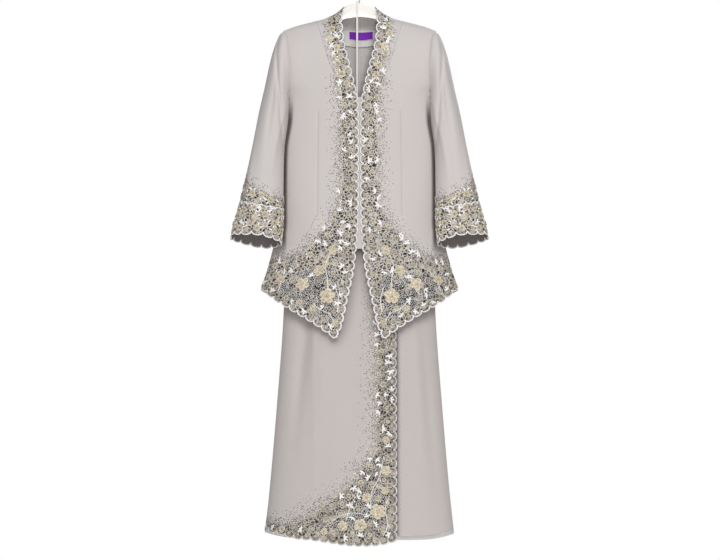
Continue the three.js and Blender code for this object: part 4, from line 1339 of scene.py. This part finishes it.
def build_cuff(name, side, half):
    front, lower_edge, seed = CUFF_HALVES[half]
    piece = f"cuff_lace_{name}_{half}"
    surface, rng = sleeve_surface(side), np.random.default_rng(seed)
    turn = -1 if front else 1
    start, end = turn * CUFF_SIDE_GAP, turn * (math.pi * SLEEVE_ROUND - CUFF_SIDE_GAP)
    path = sleeve_place(surface, smooth_path(lower_edge, 14), front, side)
    path[0, 0], path[-1, 0] = start, end
    arcs = scallop_arcs(path, -turn)
    edge = arcs_outline(arcs)
    edge[:, 0] = np.clip(edge[:, 0], min(start, end), max(start, end))
    outline = np.vstack([edge, straight((end, CUFF_SEAM - SEAM), (start, CUFF_SEAM - SEAM), 30)])
    gaps = []
    for x, z, ring in CUFF_ROSETTES:
        middle = sleeve_place(surface, [[x, z]], front, side)[0]
        gaps += rosette_gaps([[middle[0], middle[1], ring]])
    plane, triangles = triangulate(outline, gaps, 5.0)
    # The inner face is painted dark with painted shade, for the shadow inside the cuff.
    ground = shell(f"{piece}_ground", surface, plane, triangles, LACE, "jacket",
                   {"cover": np.ones(len(plane))}, {"shade": np.full(len(plane), 0.8)})
    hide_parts(piece)

    pile = Pile(surface)
    scallop_trim(pile, arcs, rng)
    divider = scallop_arcs([[end, CUFF_SEAM + 4], [start, CUFF_SEAM + 4]], -turn, 5.0)
    scallop_trim(pile, divider, rng)
    top = smooth_path([[end * part, CUFF_SEAM + rise] for part, rise in CUFF_TOP])
    upper = np.array([[end, CUFF_SEAM], [start, CUFF_SEAM],
                      [start, CUFF_SEAM + 110], [end, CUFF_SEAM + 110]])
    embroider(pile, rng, np.vstack([edge, top]), edge, top, [upper], spread=24,
              lines=[arcs_outline(divider)])
    gap_rings(pile, rng, gaps)
    flowers = pile.finish(f"{piece}_embroidery")
    within = Pile(Surface(surface.point, -surface.out))
    scallop_trim(within, arcs, rng, 0.1, False)
    inner_cords = within.finish(f"{piece}_inner_cords")
    sheet((150, 120), 0.75)


# ------------------------------------------------------------------ the skirt

SKIRT_TOP = WAIST_TOP - WAISTBAND - SEAM
SKIRT_STEMS = [[[60, -1200], [50, -1250], [30, -1290], [28, -1330]],
               [[-90, -1380], [-50, -1350], [-10, -1342], [36, -1352]],
               [[74, -1300], [64, -1330], [70, -1372], [58, -1400]],
               [[-10, -1300], [-24, -1330], [-34, -1362]]]
SKIRT_NET_ZONE = [[70, -1270], [72, -1340], [50, -1366], [0, -1366], [-60, -1386], [-80, -1372],
                  [-30, -1340], [20, -1290]]
SKIRT_BIG_FLOWERS = [[46, -1338, 20], [2, -1372, 17], [-42, -1374, 14], [66, -1236, 13],
                     [64, -1286, 11], [-88, -1388, 10], [18, -1304, 13], [66, -1160, 10]]


def painted_shadow_under_jacket(surface, plane):
    """Painted shadow: how dark the skirt is painted just below the jacket's opening and beside its
    edges.
    """
    spots = surface.point(plane[:, 0], plane[:, 1])
    seen = np.abs(spots[:, [0, 2]]) * [1, -1]
    edge = np.vstack([smooth_path(OPENING_EDGE), smooth_path(HEM_EDGE)])
    opening = 0.85 * np.exp(-np.maximum(-690 - seen[:, 1], 0) / 38) * (seen[:, 0] < 60)
    return np.maximum(opening, 0.36 * np.exp(-(distance(seen, edge) / 17) ** 2))


def over_lines():
    """The over panel's scallops, its lace's inner line, the lace's region and the cloth's."""
    inner = smooth_path(SKIRT_LACE_INNER)
    arcs = np.concatenate([
        scallop_arcs([[SKIRT_EDGE - 2, SKIRT_TOP], [SKIRT_EDGE, -900], [SKIRT_EDGE + 2, -1412]], 1),
        scallop_arcs(OVER_HEM[::-1], 1)])
    lace = on_skirt(np.vstack([arcs_outline(arcs), (inner + [0.4, -0.4])[::-1]]))
    cloth = on_skirt(np.vstack([
        [44, SKIRT_TOP], inner[1:], straight((-PAST_SKIRT, -1376), (-PAST_SKIRT, SKIRT_TOP), 150),
        straight((-SKIRT_TOP_HALF, SKIRT_TOP), (44, SKIRT_TOP), 50)[:-1]]))
    return arcs, inner, lace, cloth


def build_over_panel():
    surface = skirt_surface(-1, LAYER)
    _, inner, lace, cloth = over_lines()
    plane, triangles = triangulate(cloth, [], 8.0)
    panel = shell("skirt_over_cloth", surface, plane, triangles, CLOTH, "skirt",
                  {**cover_of(plane, lace, on_skirt(inner)), "shade": painted_shadow_under_jacket(surface, plane)})
    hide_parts("skirt_over_panel")
    sheet((310, 960), 0.8)


def build_skirt_lace():
    surface = skirt_surface(-1, LAYER)
    arcs, inner, outline, cloth = over_lines()
    rng = np.random.default_rng(51)
    gaps = [on_skirt(gap) for gap in rosette_gaps(SKIRT_ROSETTES)]
    cells = clear_cells([on_skirt(cell) for cell in net_cells(SKIRT_NET_ZONE, rng)], gaps, outline)
    plane, triangles = triangulate(outline, gaps, 6.5)
    inner_plane, edge_plane = on_skirt(inner), on_skirt(arcs_outline(arcs))
    net = on_skirt(SKIRT_NET_ZONE)
    lace = shell("skirt_lace_ground", surface, plane, triangles, LACE, "skirt",
                 cover_of(plane, outline, inner_plane, [net]))
    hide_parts("skirt_lace")

    pile = Pile(surface)
    scallop_trim(pile, np.stack([on_skirt(arc) for arc in arcs]), rng, 0.2)
    big = np.array(SKIRT_BIG_FLOWERS, float)
    big[:, :2] = on_skirt(big[:, :2])
    embroider(pile, rng, outline, edge_plane, inner_plane, [cloth], big, [net],
              [on_skirt(stem) for stem in SKIRT_STEMS], spread=32)
    gap_rings(pile, rng, gaps)
    net_cords(pile, rng, cells)
    flowers = pile.finish("skirt_lace_embroidery")
    sheet((340, 990), 0.3)


def build_under_panel():
    """The panel behind, pressed in a little, with painted shade along the over panel's edge."""
    surface = skirt_surface(-1, dip=4.0)
    hem = smooth_path(UNDER_HEM)
    region = np.vstack([
        straight((SKIRT_WRAP, SKIRT_TOP), (SKIRT_WRAP, -1399), 150), hem[hem[:, 0] > SKIRT_WRAP],
        straight((PAST_SKIRT, -1374), (PAST_SKIRT, SKIRT_TOP), 150),
        straight((SKIRT_TOP_HALF, SKIRT_TOP), (SKIRT_WRAP, SKIRT_TOP), 50)[:-1]])
    edge_points = [on_skirt(straight((SKIRT_EDGE + aside, SKIRT_TOP - 9),
                                     (SKIRT_EDGE + aside, -1390), 160)) for aside in (-2, 2, 6)]
    plane, triangles = triangulate(on_skirt(region), [], 7.0, edge_points)
    # Painted shade beside the over panel's edge, and the painted shadow below the jacket.
    beside = np.sin(plane[:, 0] / WIDTH) * SKIRT.read("half", plane[:, 1]) - SKIRT_EDGE
    shade = np.maximum(0.8 * (1 - eased(beside, 10)), painted_shadow_under_jacket(surface, plane))
    panel = shell("skirt_under_cloth", surface, plane, triangles, CLOTH, "skirt",
                  {"shade": shade})
    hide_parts("skirt_under_panel")
    sheet((380, 970), 0.85)


def build_skirt_back():
    """The plain back, whose pale turned hem shows within."""
    hem = smooth_path(SKIRT_BACK_HEM)
    region = np.vstack([
        hem, straight((PAST_SKIRT, -1388), (PAST_SKIRT, SKIRT_TOP), 150),
        straight((SKIRT_TOP_HALF, SKIRT_TOP), (-SKIRT_TOP_HALF, SKIRT_TOP), 90),
        straight((-PAST_SKIRT, SKIRT_TOP), (-PAST_SKIRT, -1386), 150)])
    plane, triangles = triangulate(on_skirt(region), [], 10.0)
    lined = np.exp(-(distance(plane, on_skirt(hem)) / 22) ** 4)
    panel = shell("skirt_back_cloth", skirt_surface(1, 0.0, 12), plane, triangles, CLOTH, "skirt",
                  None, {"lining": lined})
    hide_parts("skirt_back")
    sheet((560, 985), 0.8)


def build_waistband():
    columns, rings = 72, []
    for grow in (0.9, -0.9):
        for z in (WAIST_TOP, WAIST_TOP - WAISTBAND):
            turn = np.linspace(0, 2 * math.pi, columns, endpoint=False)
            deep = np.where(np.sin(turn) < 0, SKIRT.read("front", z), SKIRT.read("back", z))
            rings.append(np.stack([
                np.cos(turn) * (SKIRT.read("half", z) + grow),
                np.sign(np.sin(turn)) * np.abs(np.sin(turn)) ** 1.2 * (deep + grow),
                np.full(columns, z)], axis=1))
    faces = []
    for a in range(columns):
        b = (a + 1) % columns
        for first, second in ((0, 1), (1, 3), (3, 2), (2, 0)):
            faces.append([first * columns + a, first * columns + b, second * columns + b,
                          second * columns + a][::-1])
    band = make_mesh("waistband_cloth", np.vstack(rings), faces, ["skirt"])
    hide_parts("skirt_waistband")
    sheet((700, 32), 0.98)


# ------------------------------------------------------------------ the hanger

HANGER_THICK, HANGER_TOP = 12.0, -69.5
HANGER_UPPER = [[0, -69.5], [20, -72.5], [38, -81], [58, -103], [88, -118], [113, -123],
                [159, -135], [182, -144]]
HANGER_LOWER = [[184, -150], [178, -158], [159, -152], [113, -141], [88, -136], [58, -124],
                [38, -111], [0, -105]]
# Across the hanger's edge: the place from front to back and how far in from the outline.
HANGER_PROFILE = [(-6.0, 6.0), (-5.4, 1.2), (-3.6, 0.2), (0, 0), (3.6, 0.2), (5.4, 1.2), (6.0, 3.0)]
HOOK_WIRE, HOOK_RADIUS = 1.7, 22.0
RIBBON_X, RIBBON_WIDTH = -6.0, 4.5


def build_hanger():
    half = np.vstack([smooth_path(HANGER_UPPER, 5), smooth_path(HANGER_LOWER, 5)])
    outline = np.vstack([half, (half * [-1, 1])[::-1][1:-1]])
    lower = np.array(HANGER_LOWER[::-1]).T
    count, rings = len(outline), []
    way = np.roll(outline, -1, axis=0) - np.roll(outline, 1, axis=0)
    way /= np.linalg.norm(way, axis=1, keepdims=True)
    inward = np.stack([way[:, 1], -way[:, 0]], axis=1)
    for y, inset in HANGER_PROFILE:
        place = outline + inward * inset
        rings.append(np.stack([place[:, 0], np.full(count, y), place[:, 1]], axis=1))
    faces = []
    for ring in range(len(HANGER_PROFILE) - 1):
        for a in range(count):
            b = (a + 1) % count
            faces.append([ring * count + a, ring * count + b,
                          (ring + 1) * count + b, (ring + 1) * count + a])
    faces += [list(range(count))[::-1], [i + (len(rings) - 1) * count for i in range(count)]]
    # Painted shade along the lower edge, on the underside.
    low = outline[:, 1] < np.interp(np.abs(outline[:, 0]), *lower) + 1
    underside_shade = np.concatenate([low * (inset < 2) for _, inset in HANGER_PROFILE])
    body = make_mesh("hanger_body_shell", np.vstack(rings), faces, ["hanger"],
                     {"underside_shade": underside_shade})
    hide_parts("hanger_body")


def build_hook():
    curve = bpy.data.curves.new("hook_wire_curve", "CURVE")
    curve.dimensions = "3D"
    curve.bevel_depth = HOOK_WIRE * MM
    curve.bevel_resolution = 4
    curve.use_fill_caps = True
    curve.resolution_u = 6
    bend = HOOK_RADIUS + HOOK_WIRE
    points = [(0, HANGER_TOP - 14), (0, HANGER_TOP - 5), (0, HANGER_TOP + 4), (0, HANGER_TOP + 12),
              (4, HANGER_TOP + 21)]
    points += [(bend * math.cos(math.radians(a)), HOOK_WIRE - bend + bend * math.sin(math.radians(a)))
               for a in range(-40, 201, 20)]
    spline = curve.splines.new("BEZIER")
    spline.bezier_points.add(len(points) - 1)
    for point, (x, z) in zip(spline.bezier_points, points):
        point.co = (x * MM, 0, z * MM)
        point.handle_left_type = point.handle_right_type = "AUTO"
    curve.materials.append(LOOKS["wire"])
    hook = bpy.data.objects.new("hook_wire", curve)
    bpy.context.scene.collection.objects.link(hook)
    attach(hook, "root")
    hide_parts("hanger_hook")


def build_ribbon():
    clear, foot = HANGER_THICK / 2 + 2, WAIST_TOP - 4
    route = np.array([[-30, foot], [-clear, -112], [-clear, HANGER_TOP + 1],
                      [-clear + 3, HANGER_TOP + 4], [clear - 3, HANGER_TOP + 4],
                      [clear, HANGER_TOP + 1], [clear, -112], [28, foot]], float)
    points, faces = [], []
    for grow in (0.3, -0.3):
        for y, z in route:
            rise = grow if abs(y) < clear else 0
            for x in (RIBBON_X - RIBBON_WIDTH / 2, RIBBON_X + RIBBON_WIDTH / 2):
                points.append((x, y + math.copysign(1, y) * grow, z + rise))
    count = 2 * len(route)
    for a in range(0, count - 2, 2):
        faces += [[a, a + 1, a + 3, a + 2], [a + count, a + 2 + count, a + 3 + count, a + 1 + count],
                  [a, a + 2, a + 2 + count, a + count], [a + 1, a + 1 + count, a + 3 + count, a + 3]]
    faces += [[0, count, count + 1, 1], [count - 2, count - 1, 2 * count - 1, 2 * count - 2]]
    ribbon = make_mesh("hanging_ribbon", points, faces, ["ribbon"])
    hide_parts("skirt_hanging_ribbon")
    sheet((10.1, 720), 0.46)


# ------------------------------------------------------------------ camera and light

CAMERA_FAR = 16.0         # metres in front of the set
FRAME_WIDTH = 1.8         # metres of the set's plane across the picture
FRAME_MIDDLE = (0.00125, -0.762)
LIT_MIDDLE = (0, 0, -0.75)
AMBIENT = 0.40
# Soft round lamps: the place and the size in metres, and the power in watts.
LAMPS = {
    "key": ((0.45, -4.0, 2.2), 2.4, 127),
    "front": ((0.3, -7.0, -1.1), 1.0, 165),
    "back": ((0.8, 3.0, 0.8), 2.4, 90),
}
FLOOR_RADIUS, FLOOR_FORWARD, FLOOR_LEVEL, FLOOR_SIDES = 1.1, 0.25, -1.56, 64


def build_camera():
    camera = bpy.data.cameras.new("camera")
    camera.sensor_width = 36
    camera.lens = 36 * CAMERA_FAR / FRAME_WIDTH
    camera.clip_end = 60
    holder = bpy.data.objects.new("camera", camera)
    holder.location = (FRAME_MIDDLE[0], -CAMERA_FAR, FRAME_MIDDLE[1])
    holder.rotation_euler = (math.pi / 2, 0, 0)
    bpy.context.scene.collection.objects.link(holder)
    bpy.context.scene.camera = holder


def soft_light(name, place, size, power):
    light = bpy.data.lights.new(name, "AREA")
    light.shape, light.size, light.energy = "DISK", size, power
    lamp = bpy.data.objects.new(name, light)
    lamp.location = place
    lamp.rotation_euler = (Vector(LIT_MIDDLE) - Vector(place)).to_track_quat("-Z", "Y").to_euler()
    lamp.visible_camera = False
    bpy.context.scene.collection.objects.link(lamp)


def build_surroundings():
    """White behind the set for the camera, a dimmer even light on the set, and the lamps."""
    scene = bpy.context.scene
    world = bpy.data.worlds.new("studio")
    world.use_nodes = True
    nodes, links = world.node_tree.nodes, world.node_tree.links
    background = nodes["Background"]
    background.inputs["Color"].default_value = (1, 1, 1, 1)
    rays = nodes.new("ShaderNodeLightPath")
    level = nodes.new("ShaderNodeMapRange")
    level.inputs["To Min"].default_value = AMBIENT
    level.inputs["To Max"].default_value = 1.0
    links.new(rays.outputs["Is Camera Ray"], level.inputs["Value"])
    links.new(level.outputs["Result"], background.inputs["Strength"])
    scene.world = world
    scene.view_settings.view_transform = "Standard"
    for name, (place, size, power) in LAMPS.items():
        soft_light(name, place, size, power)


def build_floor():
    mesh = bpy.data.meshes.new("floor")
    turn = np.linspace(0, 2 * math.pi, FLOOR_SIDES, endpoint=False)
    mesh.from_pydata([(FLOOR_RADIUS * math.cos(a), FLOOR_RADIUS * math.sin(a) - FLOOR_FORWARD,
                       FLOOR_LEVEL) for a in turn], [], [list(range(FLOOR_SIDES))])
    shader = Shader("pale_floor")
    mesh.materials.append(shader.paint(
        shader.mix(shader.noise(3, 3.0), (0.80, 0.80, 0.79), (0.84, 0.84, 0.83)),
        0.6 + 0.15 * shader.noise(12, 3.0)))
    floor = bpy.data.objects.new("floor", mesh)
    bpy.context.scene.collection.objects.link(floor)


build_camera()
build_surroundings()
build_floor()
for side_name, side_sign in SIDES.items():
    build_front(side_name, side_sign)
    build_front_lace(side_name, side_sign)
for side_name, side_sign in SIDES.items():
    build_collar_band(side_name, side_sign)
build_collar_back()
for side_name, side_sign in SIDES.items():
    build_back(side_name, side_sign)
build_inside()
for side_name, side_sign in SIDES.items():
    build_sleeve(side_name, side_sign)
    for half in CUFF_HALVES:
        build_cuff(side_name, side_sign, half)
build_over_panel()
build_skirt_lace()
build_under_panel()
build_skirt_back()
build_waistband()
build_hanger()
build_hook()
build_ribbon()
